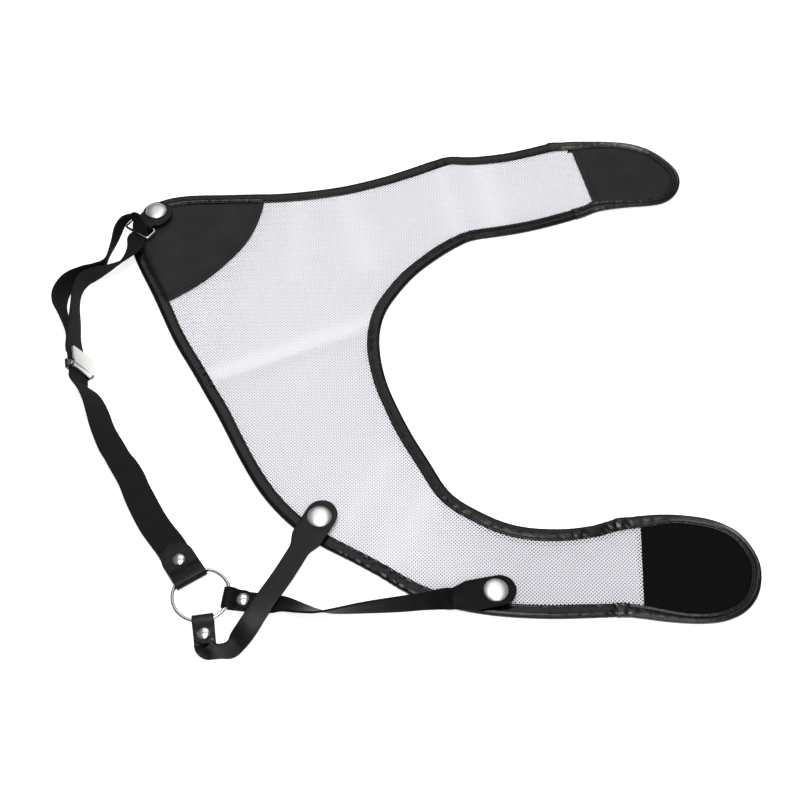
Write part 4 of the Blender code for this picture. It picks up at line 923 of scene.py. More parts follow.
def lattice(name, i, j):
    """A knitted mesh as cells with a square hole: each cell's corners are shared with its
    neighbours, and the yarn between its corners and its hole slopes down into the hole on both
    faces."""
    sizes = bpy.context.scene.guard_sizes
    span = int(MESH_SPAN / sizes.mesh_pitch) * 2 + 4
    corners = np.stack([i, j, i + 1, j, i + 1, j + 1, i, j + 1]).reshape(4, 2, -1)
    key = (corners[:, 0] + span) * 4 * span + corners[:, 1] + span
    unique, index = np.unique(key, return_inverse=True)
    index = index.reshape(4, -1)
    grid = grid_place(unique // (4 * span) - span - 0.5, unique % (4 * span) - span - 0.5)
    middles = grid_place(i, j)
    near = nearest_on_edge(middles)[0]
    h = sizes.mesh_hole / 2 / sizes.mesh_pitch * openness(middles, near)
    turns = ((-1, -1), (1, -1), (1, 1), (-1, 1))
    holes = np.concatenate([grid_place(i + u * h, j + v * h) for u, v in turns])
    flat = np.concatenate([grid, holes])
    middle = MESH_MIDDLE + panel_lift(flat, nearest_on_edge(flat)[0])
    thick = sizes.mesh_yarn * np.repeat([0.5, 0.3], [len(grid), len(holes)])
    points = np.concatenate([np.column_stack([flat, middle + side]) for side in (thick, -thick)])
    n, cells = len(flat), len(i)
    ring = len(grid) + np.arange(4)[:, None] * cells + np.arange(cells)[None, :]
    faces = []
    for k in range(4):
        m = (k + 1) % 4
        faces += [[index[k], index[m], ring[m], ring[k]],
                  [index[m] + n, index[k] + n, ring[k] + n, ring[m] + n],
                  [ring[k], ring[m], ring[m] + n, ring[k] + n]]
    places = list(zip(i.tolist(), j.tolist()))
    cell_at = set(places)
    for k, (di, dj) in enumerate(((0, -1), (1, 0), (0, 1), (-1, 0))):
        open_side = np.array([(a + di, b + dj) not in cell_at for a, b in places])
        p, q = index[k][open_side], index[(k + 1) % 4][open_side]
        faces.append([q, p, p + n, q + n])
    faces = np.concatenate([np.stack(face, axis=1) for face in faces])
    return make_piece(name, points, [faces], look("mesh_yarn"), 75)


def build_panel():
    """The panel's mesh is one cloth, made here in stretches: the two ends by the seams are pieces
    of their own."""
    i, j, xy = mesh_cells()
    pitch = bpy.context.scene.guard_sizes.mesh_pitch
    y = xy[:, 1]
    at_upper = (past_seam(xy, "upper_tab") > -MESH_END) & (y > 0)
    at_lower = (past_seam(xy, "lower_tab") > -MESH_END) & (y < 0)
    main = ~at_upper & ~at_lower
    parts = [(name, main & (y > low) & (y <= high), "guard") for name, low, high in MESH_CUTS]
    parts += [("mesh_upper_end", at_upper, "upper_tab"), ("mesh_lower_end", at_lower, "lower_tab")]
    for name, part, body in parts:
        piece = lattice(name, i[part], j[part])
        carry(piece, body, "mesh_panel" if name == "mesh_upper" else None, "white_mesh")
        side = np.ptp(xy[part], axis=0) + pitch
        flat, area = (float(side[0]), float(side[1])), float(part.sum()) * pitch**2
        min(area, flat[0] * flat[1])


# ---------------- leather and pile cut to a shape
PAD_DEPTHS = (0.0, 0.00015, 0.0004, 0.0008, 0.0014, 0.0020, 0.0026, 0.0032, 0.0038, 0.0044, 0.0050,
              0.0058, 0.0070, 0.0090, 0.0120)
PAD_STEPS = (0.12, 0.25, 0.4, 0.55, 0.7, 0.85, 0.95)  # from the last depth to the middle
BACK_START = HEM + 0.0012  # a tab's back piece starts this far past its seam
BACK_INSET = 0.002  # and the lower one runs this far in from the outer edge
HEM_GROOVE = HEM - 0.0004  # how far in from its edge the facing's hem is sewn
PATCH_GROOVE = HEM - 0.0016
ROLL, ROLL_DROP = 0.0006, 0.00055  # the rounding of a hem's edge: how wide and how deep
HEM_END = 0.0012  # over this a hem falls to one thickness of leather
GROOVE_WIDTH, GROOVE_DEPTH = 0.0007, 0.00030
TUCK_REACH = 0.0035  # over this an edge comes up from under the binding
SWELL = 0.00012
STITCH_LIFT = 0.0001  # the thread's middle above a hem's level


def pad(name, outline, hem, depths, top, low, finish):
    """A flat shape with a worked top. The outline's points move towards its middle by each of the
    depths, measured square to the edge, and then in even steps to the middle; top gives the height
    from the depth, the share of hem at the edge and the place. The underside is flat at low."""
    outline, hem = np.asarray(outline), np.asarray(hem, float)
    hub = outline.mean(axis=0)
    normal = left_of(along_loop(outline))
    to_hub = hub - outline
    reach = np.linalg.norm(to_hub, axis=1)
    square = np.maximum((normal * unit(to_hub)).sum(axis=1), 0.35)
    shares = [np.minimum(k / (reach * square), 0.6) for k in depths]
    shares += [shares[-1] + (1 - shares[-1]) * t for t in PAD_STEPS]
    n = len(outline)
    rows = [np.column_stack([outline + to_hub * share, np.full(n, low)])
            for share in (0.3 * 3, 0.3 * 2, 0.3, 0.0)]
    for share in shares:
        xy = outline + to_hub * share[:, None]
        rows.append(np.column_stack([xy, top(share * reach * square, hem, xy)]))
    crown = float(top(np.array([reach.max()]), np.zeros(1), hub[None])[0])
    points = np.concatenate(rows + [np.array([[*hub, low], [*hub, crown]])])
    faces = [skin(len(rows), n)[0], fans(len(rows), n, len(points) - 2, -1)]
    return face_outwards(make_piece(name, points, faces, finish, 50))


def tab_outline(tab, depth, hem_start=0.0):
    """A tab's outline inside its binding, closed by a straight line along the seam, with the share
    of each point that is hem. Rows within hem_start of the seam are left off."""
    s, at, inward = edge_rows(*TAB_SPANS[tab])
    rows = at + inward * depth(s)[:, None]
    far = (rows - SEAMS[tab].mean(axis=0)) @ seam_out(tab)
    rows = rows[far > hem_start]
    straight = spaced(np.array([rows[-1], rows[0]]))[1:-1]
    hem = np.repeat([0.0, 1.0], [len(rows), len(straight)])
    return np.vstack([rows, straight]), hem


def hem_top(level, hem_rise, edge_drop, groove_at):
    """A top that is rolled over at its edge. On a hem it is double for HEM, with a stitched groove;
    elsewhere it tucks under the binding. Low swells run over it."""
    def top(depth, hem, xy):
        roll = np.sqrt(np.clip(1 - (1 - np.clip(depth / ROLL, 0, 1)) ** 2, 0, 1))
        on_hem = level - ROLL_DROP * (1 - roll)
        on_hem = on_hem + hem_rise * (1 - ease((depth - HEM + 0.0004) / HEM_END))
        on_hem = on_hem - GROOVE_DEPTH * np.exp(-(((depth - groove_at) / GROOVE_WIDTH) ** 2))
        tucked = level - edge_drop * (1 - ease(depth / TUCK_REACH))
        x, y = xy.T
        swell = SWELL * np.sin(x * 160 + y * 90) * np.sin(y * 140 - x * 60)
        return hem * on_hem + (1 - hem) * tucked + swell * ease(depth / 0.006)
    return top


def even_top(level):
    """A flat top."""
    return lambda depth, hem, xy: level + 0 * depth


def hem_stitches(name, outline, hem, depth, level):
    """The stitching of an outline's hemmed part, at depth inside it."""
    inner = outline + left_of(along_loop(outline)) * depth
    rows = inner[hem > 0.5]
    line = np.column_stack([rows, np.full(len(rows), level + STITCH_LIFT)])
    return stitches(name, line, look("dark_thread"))


def declare_flat(piece, outline):
    """Works out the size of a piece's outline and does nothing with it."""
    side = np.ptp(outline, axis=0)


def build_patch():
    tuck = BINDING_WIDTH - 0.0012
    arc = spaced(PATCH_CURVE)[::-1]
    arc = arc[nearest_on_edge(arc)[0] > tuck]
    side = edge_inset(place_on_edge(arc[-1]), place_on_edge(arc[0]), tuck)[1:-1]
    outline = np.vstack([side, arc])
    hem = np.repeat([0.0, 1.0], [len(side), len(arc)])
    low, level = PANEL_TOP - 0.0001, FACING_TOP - 0.00015
    top = hem_top(level, 0.00022, 0.0009, PATCH_GROOVE)
    patch = pad("corner_leather", outline, hem, PAD_DEPTHS, top, low, look("panel_leather"))
    carry(patch, "guard", "corner_patch", "black_leather")
    declare_flat(patch, outline)
    sewn = hem_stitches("corner_leather_stitching", outline, hem, PATCH_GROOVE, level)
    carry(sewn, "guard", None, "black_leather")


def build_upper_tab():
    tab, level = "upper_tab", FACING_TOP + 0.0003
    lip = lambda s: binding_width(s) - 0.0008
    outline, hem = tab_outline(tab, lip)
    top = hem_top(level, 0.00028, 0.0005, HEM_GROOVE)
    facing = pad("upper_tab_facing", outline, hem, PAD_DEPTHS, top, FACING_LOW - 0.0001,
                 look("panel_leather"))
    sewn = hem_stitches("upper_tab_facing_stitching", outline, hem, HEM_GROOVE, level)
    outline_low, hem_low = tab_outline(tab, lip, BACK_START)
    hook = pad("upper_tab_hook", outline_low, hem_low, PAD_DEPTHS[:6], even_top(HOOK_TOP), 0.0002,
               look("pile"))
    carry(facing, tab, "upper_tab_leather", "black_leather")
    carry(hook, tab, "upper_tab_hook_pad", "hook_and_loop")
    carry(sewn, tab, None, "black_leather")
    declare_flat(facing, outline)
    declare_flat(hook, outline_low)


def build_lower_tab():
    tab = "lower_tab"
    outline, hem = tab_outline(tab, lambda s: binding_width(s) - 0.0006)

    def top(depth, hem, xy):
        """A dense pile: low where it is sewn down round its edge and full within 3 mm."""
        return LOOP_TOP - 0.0002 - (0.0011 - 0.0005 * hem) * (1 - ease(depth / 0.003))

    loop = pad("lower_tab_loop", outline, hem, PAD_DEPTHS, top, FACING_LOW - 0.0002, look("pile"))
    outline_low, hem_low = tab_outline(tab, lambda s: np.full(len(s), BACK_INSET), BACK_START)
    back = pad("lower_tab_back", outline_low, hem_low, PAD_DEPTHS[:6], even_top(BACKING_TOP),
               PANEL_LOW, look("panel_leather"))
    across, out = SEAMS[tab][1] - SEAMS[tab][0], seam_out(tab)
    left, right = (SEAMS[tab][0] + t * across for t in (0.16, 0.84))
    near, far = -0.0012 * out, (HEM + 0.0021) * out
    turned_in = spaced(np.array([left + near, right + near, right + far, left + far, left + near]))
    turned_in = turned_in[:-1]
    fold = pad("lower_tab_back_fold", turned_in, np.ones(len(turned_in)), PAD_DEPTHS[:4],
               even_top(PANEL_LOW - 0.0001), 0.0003, look("pile"))
    for piece, node, slot, line in ((loop, "lower_tab_loop_pad", "hook_and_loop", outline),
                                    (back, "lower_tab_backing", "black_leather", outline_low),
                                    (fold, None, "black_leather", turned_in)):
        carry(piece, tab, node, slot)
        declare_flat(piece, line)


# ---------------- straps
# A quarter of a strap's section, as shares of half its width and half its thickness.
ROUNDED = [(1.0, 0.35), (0.985, 0.75), (0.955, 0.95), (0.90, 1.0), (0.5, 1.0)]
STRAP_SECTION = np.array(
    [(-x, -y) for x, y in ROUNDED] + [(0.0, -1.0)] + [(x, -y) for x, y in ROUNDED[::-1]]
    + ROUNDED + [(0.0, 1.0)] + [(-x, y) for x, y in ROUNDED[::-1]])
HALF_TURN = np.radians(np.linspace(90, -90, 17))
SNUG = 0.0001  # a strap's fold lies this much inside the wire's own curve
FLAP_FALL, FLAP_FLAT = 0.0044, 0.0004  # the most that a flap slopes for, and the least left flat
NECK_LEAN, NECK_POWER = 0.42, 2.4
HELD_FLAT = (0.0222, 0.0262, 0.0300, 0.0322)  # from the ring's centre, where a strap lies flat
CORNER_NECK, CORNER_NECK_LENGTH = 0.0040, 0.0075  # where the corner tab's neck starts
CORNER_SHOULDER = 0.0006  # it is this much narrower than the tab
CORNER_TAIL = (0.0105, 0.0078)  # its lower end, which runs back under it
CORNER_SHIFT = 0.005  # over this distance the tab moves aside by its offset


def with_directions(rows):
    """Rows with the heading and tilt of their width's line turned into a unit vector."""
    rows = np.array([tuple(r) for r in rows], float)
    return np.hstack([rows[:, :3], directions(rows[:, 3], rows[:, 4]), rows[:, 5:]])


def row_frames(rows):
    """Places along a strap, with its unit vectors across its width and out of its face."""
    along = unit(np.gradient(rows[:, :3], axis=0))
    across = rows[:, 3:6]
    across = unit(across - (across * along).sum(1, keepdims=True) * along)
    return rows[:, :3], across, np.cross(along, across)


def set_square(rows, aside, up):
    """Rings of points, aside and up from each row of a strap's route and square to it."""
    centres, across, face = row_frames(rows)
    return centres[:, None] + across[:, None] * aside[..., None] + face[:, None] * up[..., None]


def strap_rings(rows, widths):
    """A leather strap's section at every row. Its edges keep their own rounding where the strap
    widens."""
    half = np.asarray(widths)[:, None] / 2
    share, up = STRAP_SECTION.T
    edge = np.sign(share) * (half - (1 - np.abs(share)) * STRAP_WIDTH / 2)
    rounded = (np.abs(share) >= 0.9) & (half > STRAP_WIDTH / 4)
    aside = np.where(rounded, edge, share * half)
    return set_square(rows, aside, up[None, :] * STRAP_LEATHER / 2)


def rows_out_from(centre, degrees, side, profile):
    """Rows along a heading from a centre, from (distance, height) pairs. Side is +1 where the
    width's line points to the left of the heading and -1 where it points to the right."""
    d = heading(degrees)
    return [(centre[0] + s * d[0], centre[1] + s * d[1], z, degrees + 90 * side, 0)
            for s, z in profile]


def round_tip(tip, width):
    """(distance, width) pairs of a half-round end whose tip is at the distance tip."""
    return [(tip - width / 2 * (1 - math.cos(a)), width * math.sin(a))
            for a in np.radians([3, 8, 14, 22, 32, 42, 52, 62, 72, 81, 90])]


def turn_over(bend, low, wire_z):
    """The half circle a strap makes round a wire, from its top side to its underside."""
    r = wire_z - low
    return [(bend - r * math.cos(a), wire_z + r * math.sin(a)) for a in HALF_TURN]


def ring_wrap(width, tip, flap_height):
    """A strap's end folded round the ring: (distance, height, width) from the flap's tip over the
    wire, round it and back out underneath."""
    slant = math.sqrt(1 - (width / 2 / RING_RADIUS) ** 2)
    bend = RING_RADIUS * slant - RING_WIRE / 2 * (1 / slant - 1) - SNUG
    clear = RING_EDGE + GAP
    top = 2 * RING_HEIGHT - STRAP_LOW
    fall = min(FLAP_FALL, tip - width / 2 - clear - FLAP_FLAT)
    flap = [(s, flap_height, w) for s, w in round_tip(tip, width)]
    for t in np.linspace(0, 1, 9)[:-1]:
        rise = (top - flap_height) * t * t * (1.6 - 0.6 * t)
        flap.append((clear + fall * (1 - t), flap_height + rise, width))
    over = [(s, z, width) for s, z in turn_over(bend, STRAP_LOW, RING_HEIGHT)]
    return flap + over + [(clear, STRAP_LOW, width)]


def paddle(stud, degrees, height, twist, leaning):
    """The widened end of a strap: rows from its neck to its tip, past the press stud, and widths.
    Across its neck it turns flat: its tilt is NECK_LEAN (1 - t)^NECK_POWER of the way from twist to
    leaning."""
    share = np.linspace(0, 1, 9)
    lean = NECK_LEAN * (1 - share) ** NECK_POWER
    away = -PADDLE_LENGTH - PADDLE_NECK * (1 - share)
    pairs = [(s, STRAP_WIDTH + (PADDLE_WIDTH - STRAP_WIDTH) * float(w), turn)
             for s, w, turn in zip(away, ease(share), lean)]
    pairs += [(s, PADDLE_WIDTH, 0.0) for s in np.linspace(-PADDLE_LENGTH, 0.0, 6)[1:]]
    pairs += [(s, w, 0.0) for s, w in round_tip(PADDLE_TIP, PADDLE_WIDTH)[::-1]]
    rows = rows_out_from(stud, degrees, 1, [(s, height) for s, _, _ in pairs])
    rows = [(*row[:4], twist + turn * (leaning - twist)) for row, (_, _, turn) in zip(rows, pairs)]
    return rows, [w for _, w, _ in pairs]


def rows_of_ring_strap(degrees, route, stud, base, twist):
    """A leather strap from the ring to one press stud: its rows and its widths."""
    wrap = ring_wrap(STRAP_WIDTH, RING_EDGE + RIVET_DISTANCE + STRAP_FLAP, FLAP_HEIGHT)
    start = rows_out_from(RING_CENTRE, degrees, 1, [(s, z) for s, z, _ in wrap])
    last = math.degrees(math.atan2(*(np.array(stud) - np.array(route[-1][:2]))[::-1]))
    level = base + PADDLE_LIFT + STRAP_LEATHER / 2
    end, end_widths = paddle(stud, last, level, twist, route[-1][4])
    out = rows_out_from(RING_CENTRE, degrees, 1, [(s, STRAP_LOW) for s in HELD_FLAT])
    middle = smooth(with_directions(out + route + [end[0], end[3]]), 12)[:-13]
    rows = np.vstack([with_directions(start), middle, with_directions(end)])
    return rows, [w for _, _, w in wrap] + [STRAP_WIDTH] * len(middle) + end_widths


def build_straps():
    short = rows_of_ring_strap(SHORT_STRAP_HEADING, SHORT_STRAP_ROUTE, *STUDS["short_strap"], 0)
    long = rows_of_ring_strap(LONG_STRAP_HEADING, LONG_STRAP_ROUTE, *STUDS["long_strap"], -180)
    reach = RING_EDGE + RING_TAB_LENGTH
    wrap = ring_wrap(RING_TAB_WIDTH, reach, TAB_FLAP_HEIGHT)
    wrap += [(s, STRAP_LOW, w) for s, w in round_tip(reach, RING_TAB_WIDTH)[::-1]]
    rows = rows_out_from(RING_CENTRE, RING_TAB_HEADING, 1, [(s, z) for s, z, _ in wrap])
    tab = with_directions(rows), [w for _, _, w in wrap]
    for name, node, finish, (rows, widths) in (
            ("short_leather_strap", "short_strap", "strap_leather", short),
            ("long_leather_strap", "long_strap", "strap_flesh_side", long),
            ("ring_leather_tab", "ring_tab", "strap_leather", tab)):
        piece = tube(name, strap_rings(rows, widths), look(finish), sharp=50)
        carry(piece, "harness", node, "black_leather")


def build_corner_tab():
    level = STUDS["corner"][1] + PADDLE_LIFT + STRAP_LEATHER / 2
    turn = [(LOOP_REACH + TAB_TURN * math.cos(a), BAR_HEIGHT + TAB_TURN * math.sin(a))
            for a in HALF_TURN]
    rows = [(-s, level, w) for s, w in round_tip(CORNER_TAB_TIP, CORNER_TAB_WIDTH)]
    neck = CORNER_TAB_WIDTH - CORNER_SHOULDER
    for t in np.linspace(0, 1, 8):
        height = level + (turn[0][1] - level) * float(ease((t - 0.5) * 2))
        width = neck + (CORNER_FOLD_WIDTH - neck) * float(ease(t * 1.05))
        rows.append((CORNER_NECK + CORNER_NECK_LENGTH * t, height, width))
    rows += [(s, z, CORNER_FOLD_WIDTH) for s, z in turn]
    rows += [(s, turn[-1][1], CORNER_FOLD_WIDTH) for s in CORNER_TAIL]
    line = rows_out_from(CORNER_STUD, CORNER_HEADING, 1, [(s, z) for s, z, _ in rows])
    aside = left_of(heading(CORNER_HEADING)) * CORNER_TAB_OFFSET
    share = np.clip((CORNER_TAIL[0] - np.array([s for s, _, _ in rows])) / CORNER_SHIFT, 0, 1)
    line = [(x + k * aside[0], y + k * aside[1], *rest) for (x, y, *rest), k in zip(line, share)]
    rings = strap_rings(with_directions(line), [w for _, _, w in rows])
    piece = tube("corner_leather_tab", rings, look("strap_leather"), sharp=50)
    carry(piece, "corner_tab", "corner_tab", "black_leather")


# ---------------- elastic
ELASTIC_STEPS = 10  # between two rows of its route
PLEAT_DEPTH, PLEATS = 0.0009, 2.5  # where it is gathered
UNDER_TAB = (0.0212, 0.0278, 0.0345, 0.0405)  # from the ring's centre, held flat by the ring tab
IN_ADJUSTER = (-0.0095, -0.0050, 0.0, 0.0080, 0.0135)  # along it, from its pin
BEHIND_ADJUSTER = (0.0085, 0.0045, 0.0014)  # from the adjuster's end, the last stretch
BEND_FROM, BEND_TO = 20, 25  # rows from the ends of that stretch, where its bend would start and end; they are worked out and left unused


def adjuster_axes():
    """The adjuster's own frame at its pin: x across the strap, y along it, z out of its face."""
    across = directions([ADJUSTER_HEADING - 90], [-ADJUSTER_TILT])[0]
    along = np.array([*heading(ADJUSTER_HEADING), 0])
    return across, along, np.cross(across, along)


def bars():
    """Centres of the rectangular loop's two long bars, in the tab's fold and in the elastic's."""
    d = heading(CORNER_HEADING)
    back = np.array(CORNER_STUD) + LOOP_REACH * d
    return (*back, BAR_HEIGHT), (*(back + LOOP_DEPTH * d), BAR_HEIGHT)


def elastic_rows():
    """The elastic's one long route: from the ring tab, through the adjuster and the wire loop, and
    back to the adjuster. Returns its rows and the row where its last stretch begins."""
    across, along, out = adjuster_axes()
    face = (ADJUSTER_HEADING - 90, -ADJUSTER_TILT, ELASTIC_WIDTH)
    held = rows_out_from(RING_CENTRE, RING_TAB_HEADING, -1, [(s, ELASTIC_LOW) for s in UNDER_TAB])
    start = [(*row, ELASTIC_WIDTH) for row in held]
    strap_at = np.array(ADJUSTER_PIN_AT) - out * STRAP_UNDER_PIN
    straight = [(*(strap_at + along * y), *face) for y in IN_ADJUSTER]
    d = heading(CORNER_HEADING)
    bar = np.array(bars()[1][:2]) + LOOP_STRAP_SHIFT * left_of(d)
    flat = (CORNER_HEADING - 270, -180, ELASTIC_RETURN[-1][5] - 0.001)
    under = [(*(bar + s * d), BAR_HEIGHT - ELASTIC_TURN + lift, *flat)
             for s, lift in ((0.0040, 0.0006), (0.0, 0.0))]
    r = ELASTIC_TURN
    turn = [(*(bar - r * math.cos(a) * d), BAR_HEIGHT + r * math.sin(a), *flat)
            for a in np.radians([-50, -5])]
    behind = strap_at - out * (ELASTIC_THICKNESS + 1.6 * GAP) + across * 0.0010
    last = [(*(behind + along * (ADJUSTER_REACH + y)), *face) for y in BEHIND_ADJUSTER]
    rows = start + ELASTIC_RUN + straight + ELASTIC_RETURN + under + turn + ELASTIC_EAR + last
    split = len(rows) - len(last) - 5
    return smooth(with_directions(rows), ELASTIC_STEPS), split * ELASTIC_STEPS


def elastic_section(ribs):
    """A flat oblong whose two faces are rows of rounded ribs: 1 at a rib's crest, less between."""
    depth = bpy.context.scene.guard_sizes.rib_depth / (ELASTIC_THICKNESS / 2)
    u = np.linspace(-1, 1, ribs * 4 + 1)[1:-1]
    up = 1 - depth * (0.5 + 0.5 * np.cos(math.pi * (u + 1) * ribs))
    up = np.where(np.abs(u) > 0.93, 1.0, up)
    side = np.array([(0.998, -0.5), (1.0, 0.0), (0.998, 0.5)])
    return np.vstack([np.column_stack([u, -up]), side, np.column_stack([u, up])[::-1], -side])


def build_elastic():
    rows, split = elastic_rows()
    share, up = elastic_section(bpy.context.scene.guard_sizes.rib_count).T
    widths = rows[:, 6:]
    gathered = np.clip(1 - widths / ELASTIC_WIDTH, 0, 1)
    pleat = PLEAT_DEPTH * gathered * np.cos(share * math.pi * PLEATS) * (np.abs(share) < 0.97)
    up = up[None, :] * ELASTIC_THICKNESS / 2 + pleat
    rings = set_square(rows, share * widths / 2, up)
    long_run = tube("elastic_webbing", rings[: split + 1], look("elastic_yarn"), sharp=80)
    carry(long_run, "harness", "elastic_strap", "black_elastic")
    end_run = tube("elastic_webbing_end", rings[split:], look("elastic_yarn"), sharp=80)
    start, end = rows[split + BEND_FROM, :3] + MOVE, rows[-BEND_TO, :3] + MOVE
    tuple(start)
    tuple(end)
    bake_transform(end_run)


# ---------------- press studs and rivets
def dome(diameter, seat, height, square):
    """(radius, height) pairs of a pressed head from its rim to its middle: it stands
    (1 - (r / rim)^square)^(1 / 1.8) of the height above its seat, so its edge turns down."""
    rim = diameter / 2
    r = rim * np.concatenate([np.sin(np.linspace(math.pi / 2, 0.12, 26)), [0.06]])
    rows = [(float(a), float(seat + height * (1 - (a / rim) ** square) ** (1 / 1.8))) for a in r]
    return rows + [(0, seat + height)]


def press_stud(name, body):
    """One press stud's four parts, each turned about its own upright line."""
    at, base = STUDS[name]
    r, ball = STUD_BASE_DIAMETER / 2, STUD_BALL_DIAMETER / 2
    top = base + STUD_BASE_THICKNESS
    crest = top + STUD_BALL_HEIGHT
    post_top = crest - 0.0008
    stud = [(0.0014, base), (r - 0.0002, base), (r, base + 0.0002), (r, top - 0.0002),
            (r - 0.0002, top), (ball + 0.0002, top), (ball - 0.0003, top + 0.0002),
            (ball - 0.0002, top + 0.0005), (ball, top + 0.0009), (ball - 0.0002, crest - 0.0003),
            (ball - 0.0006, crest), (0.0008, crest), (0.0006, post_top + GAP),
            (0.0014, post_top + GAP)]
    foot, rim = PANEL_LOW - GAP, POST_FLANGE_DIAMETER / 2
    underside = foot - POST_FLANGE_THICKNESS
    post = [(0, underside), (rim - 0.0002, underside), (rim, foot - 0.0003), (rim, foot - 0.0001),
            (rim - 0.0001, foot), (0.0011, foot), (0.0011, post_top), (0, post_top)]
    low, r, mouth = base + SOCKET_LIFT, SOCKET_DIAMETER / 2, ball + GAP
    high, eye = low + SOCKET_HEIGHT, PRONG_DIAMETER / 2 + GAP
    socket = [(mouth, low + 0.0001), (mouth + 0.0003, low), (r - 0.0004, low),
              (r - 0.0001, low + 0.0002), (r, low + 0.0005), (r, high - 0.0005),
              (r - 0.0002, high - 0.0001), (r - 0.0005, high), (eye, high), (eye, high - 0.0004),
              (mouth, high - 0.0004)]
    prong, tip, seat = PRONG_DIAMETER / 2, crest + GAP, base + CAP_LIFT
    cap = [(0, tip), (prong, tip), (prong, seat), (CAP_DIAMETER / 2 - 0.0004, seat)]
    cap += dome(CAP_DIAMETER, seat + 0.0002, CAP_HEIGHT - 0.0002, 2.6)
    for piece, node, profile, metal, steps, holder in (
            ("stud_ball", "stud", stud, "nickel", 64, "guard"),
            ("stud_post", "post", post, "pale_nickel", 40, "guard"),
            ("socket_cup", "socket", socket, "nickel", 64, body),
            ("cap_dome", "cap", cap, "pale_nickel", 96, body)):
        made = turned(f"{name}_{piece}", profile, at, look(metal), steps)
        carry(made, holder, f"{name}_{node}", "satin_nickel")


def rivet(name, at, seat):
    """A rivet through folded leather: a tube on a flange from below and a domed head with a pin."""
    flange, rim = RIVET_FLANGE_THICKNESS, RIVET_FLANGE_DIAMETER / 2
    pin, wall = RIVET_PIN_DIAMETER / 2, 0.0018
    bore = pin + GAP
    back = [(0, 0), (rim - 0.0002, 0), (rim, 0.0002), (rim, flange - 0.0001),
            (rim - 0.0001, flange), (wall, flange), (wall, seat - GAP), (bore, seat - GAP),
            (bore, flange), (0, flange)]
    head = [(0, flange + GAP), (pin, flange + GAP), (pin, seat),
            (RIVET_HEAD_DIAMETER / 2 - 0.0003, seat)]
    head += dome(RIVET_HEAD_DIAMETER, seat + 0.0001, RIVET_HEAD_HEIGHT - 0.0001, 2.3)
    flat = turned(f"{name}_back_flange", back, at, look("pale_nickel"), 48)
    carry(flat, "harness", f"{name}_back", "satin_nickel")
    domed = turned(f"{name}_head_dome", head, at, look("nickel"), 64)
    carry(domed, "harness", f"{name}_head", "satin_nickel")


def build_fittings():
    for name in STUDS:
        press_stud(name, "corner_tab" if name == "corner" else "harness")
    for name, degrees, away, top in (
            ("ring_tab_rivet", RING_TAB_HEADING, RING_TAB_RIVET, TAB_FLAP_HEIGHT),
            ("short_strap_rivet", SHORT_STRAP_HEADING, RIVET_DISTANCE, FLAP_HEIGHT),
            ("long_strap_rivet", LONG_STRAP_HEADING, RIVET_DISTANCE, FLAP_HEIGHT)):
        at = np.array(RING_CENTRE) + (RING_EDGE + away) * heading(degrees)
        rivet(name, at, top + STRAP_LEATHER / 2 + GAP)


def build_ring_and_loop():
    a = np.linspace(0, 2 * math.pi, 128, endpoint=False)
    circle = np.column_stack([RING_CENTRE[0] + RING_RADIUS * np.cos(a),
                              RING_CENTRE[1] + RING_RADIUS * np.sin(a),
                              np.full(len(a), RING_HEIGHT)])
    ring = wire("ring_of_wire", circle, RING_WIRE / 2, look("nickel"), 28)
    carry(ring, "o_ring", "o_ring", "satin_nickel")
    back, front = np.array(bars())
    middle, d = (back + front) / 2, heading(CORNER_HEADING)
    along, side = np.array([*d, 0]), np.array([*left_of(d), 0])
    r = LOOP_CORNER
    path = []
    for turn, (front_side, left_side) in enumerate(((1, 1), (-1, 1), (-1, -1), (1, -1))):
        ahead, aside = (LOOP_DEPTH / 2 - r) * front_side, (LOOP_WIDTH / 2 - r) * left_side
        for a in np.radians(np.linspace(0, 90, 12) + 90 * turn):
            path.append(middle + along * (ahead + r * math.cos(a))
                        + side * (aside + r * math.sin(a)))
    path = smooth(spaced(np.array(path + path[:1]))[:-1], 2, True)
    loop = wire("loop_of_wire", path, LOOP_WIRE / 2, look("nickel"), 24)
    carry(loop, "rect_loop", "rectangular_loop", "satin_nickel")


BENT = 40  # degrees: an edge of the adjuster that turns by more is eased
MOST_CORNERS = 10000  # a part of the adjuster has fewer points


def corner_key(face):
    """A number of its own for each triangle, so that every run puts them in the same order."""
    a, b, c = sorted(vertex.index for vertex in face.verts)
    return (a * MOST_CORNERS + b) * MOST_CORNERS + c


def eased_copy(node, name, width, finish):
    """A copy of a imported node, its corners joined up and its edges eased by width."""
    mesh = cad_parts[node].data.copy()
    mesh.name = name
    piece = add_object(name, mesh)
    work = bmesh.new()
    work.from_mesh(mesh)
    bmesh.ops.remove_doubles(work, verts=work.verts, dist=0.00001)
    bmesh.ops.dissolve_limit(work, angle_limit=math.radians(1.0), verts=work.verts,
                             edges=work.edges)
    bent = [edge for edge in work.edges
            if len(edge.link_faces) == 2 and edge.calc_face_angle(0) > math.radians(BENT)]
    bmesh.ops.bevel(work, geom=bent, offset=width, offset_type="OFFSET", segments=2, profile=0.6,
                    affect="EDGES", clamp_overlap=True)
    bmesh.ops.triangulate(work, faces=work.faces)
    work.verts.index_update()
    work.faces.sort(key=corner_key)
    work.to_mesh(mesh)
    work.free()
    mesh.materials.clear()
    mesh.materials.append(finish)
    shade_smooth(mesh, 32)
    return piece


def build_adjuster():
    for node, name, body, width, metal in (
            # the frame takes the dark copy of nickel: painted shade and painted reflection
            ("adjuster_frame", "adjuster_channel", "adjuster", 0.00018, "shaded_nickel"),
            ("adjuster_pin", "adjuster_axle", "adjuster", 0.00012, "nickel"),
            ("adjuster_flap_plate", "adjuster_cam", "adjuster_flap", 0.00018, "pale_nickel")):
        carry(eased_copy(node, name, width, look(metal)), body, node, "satin_nickel")


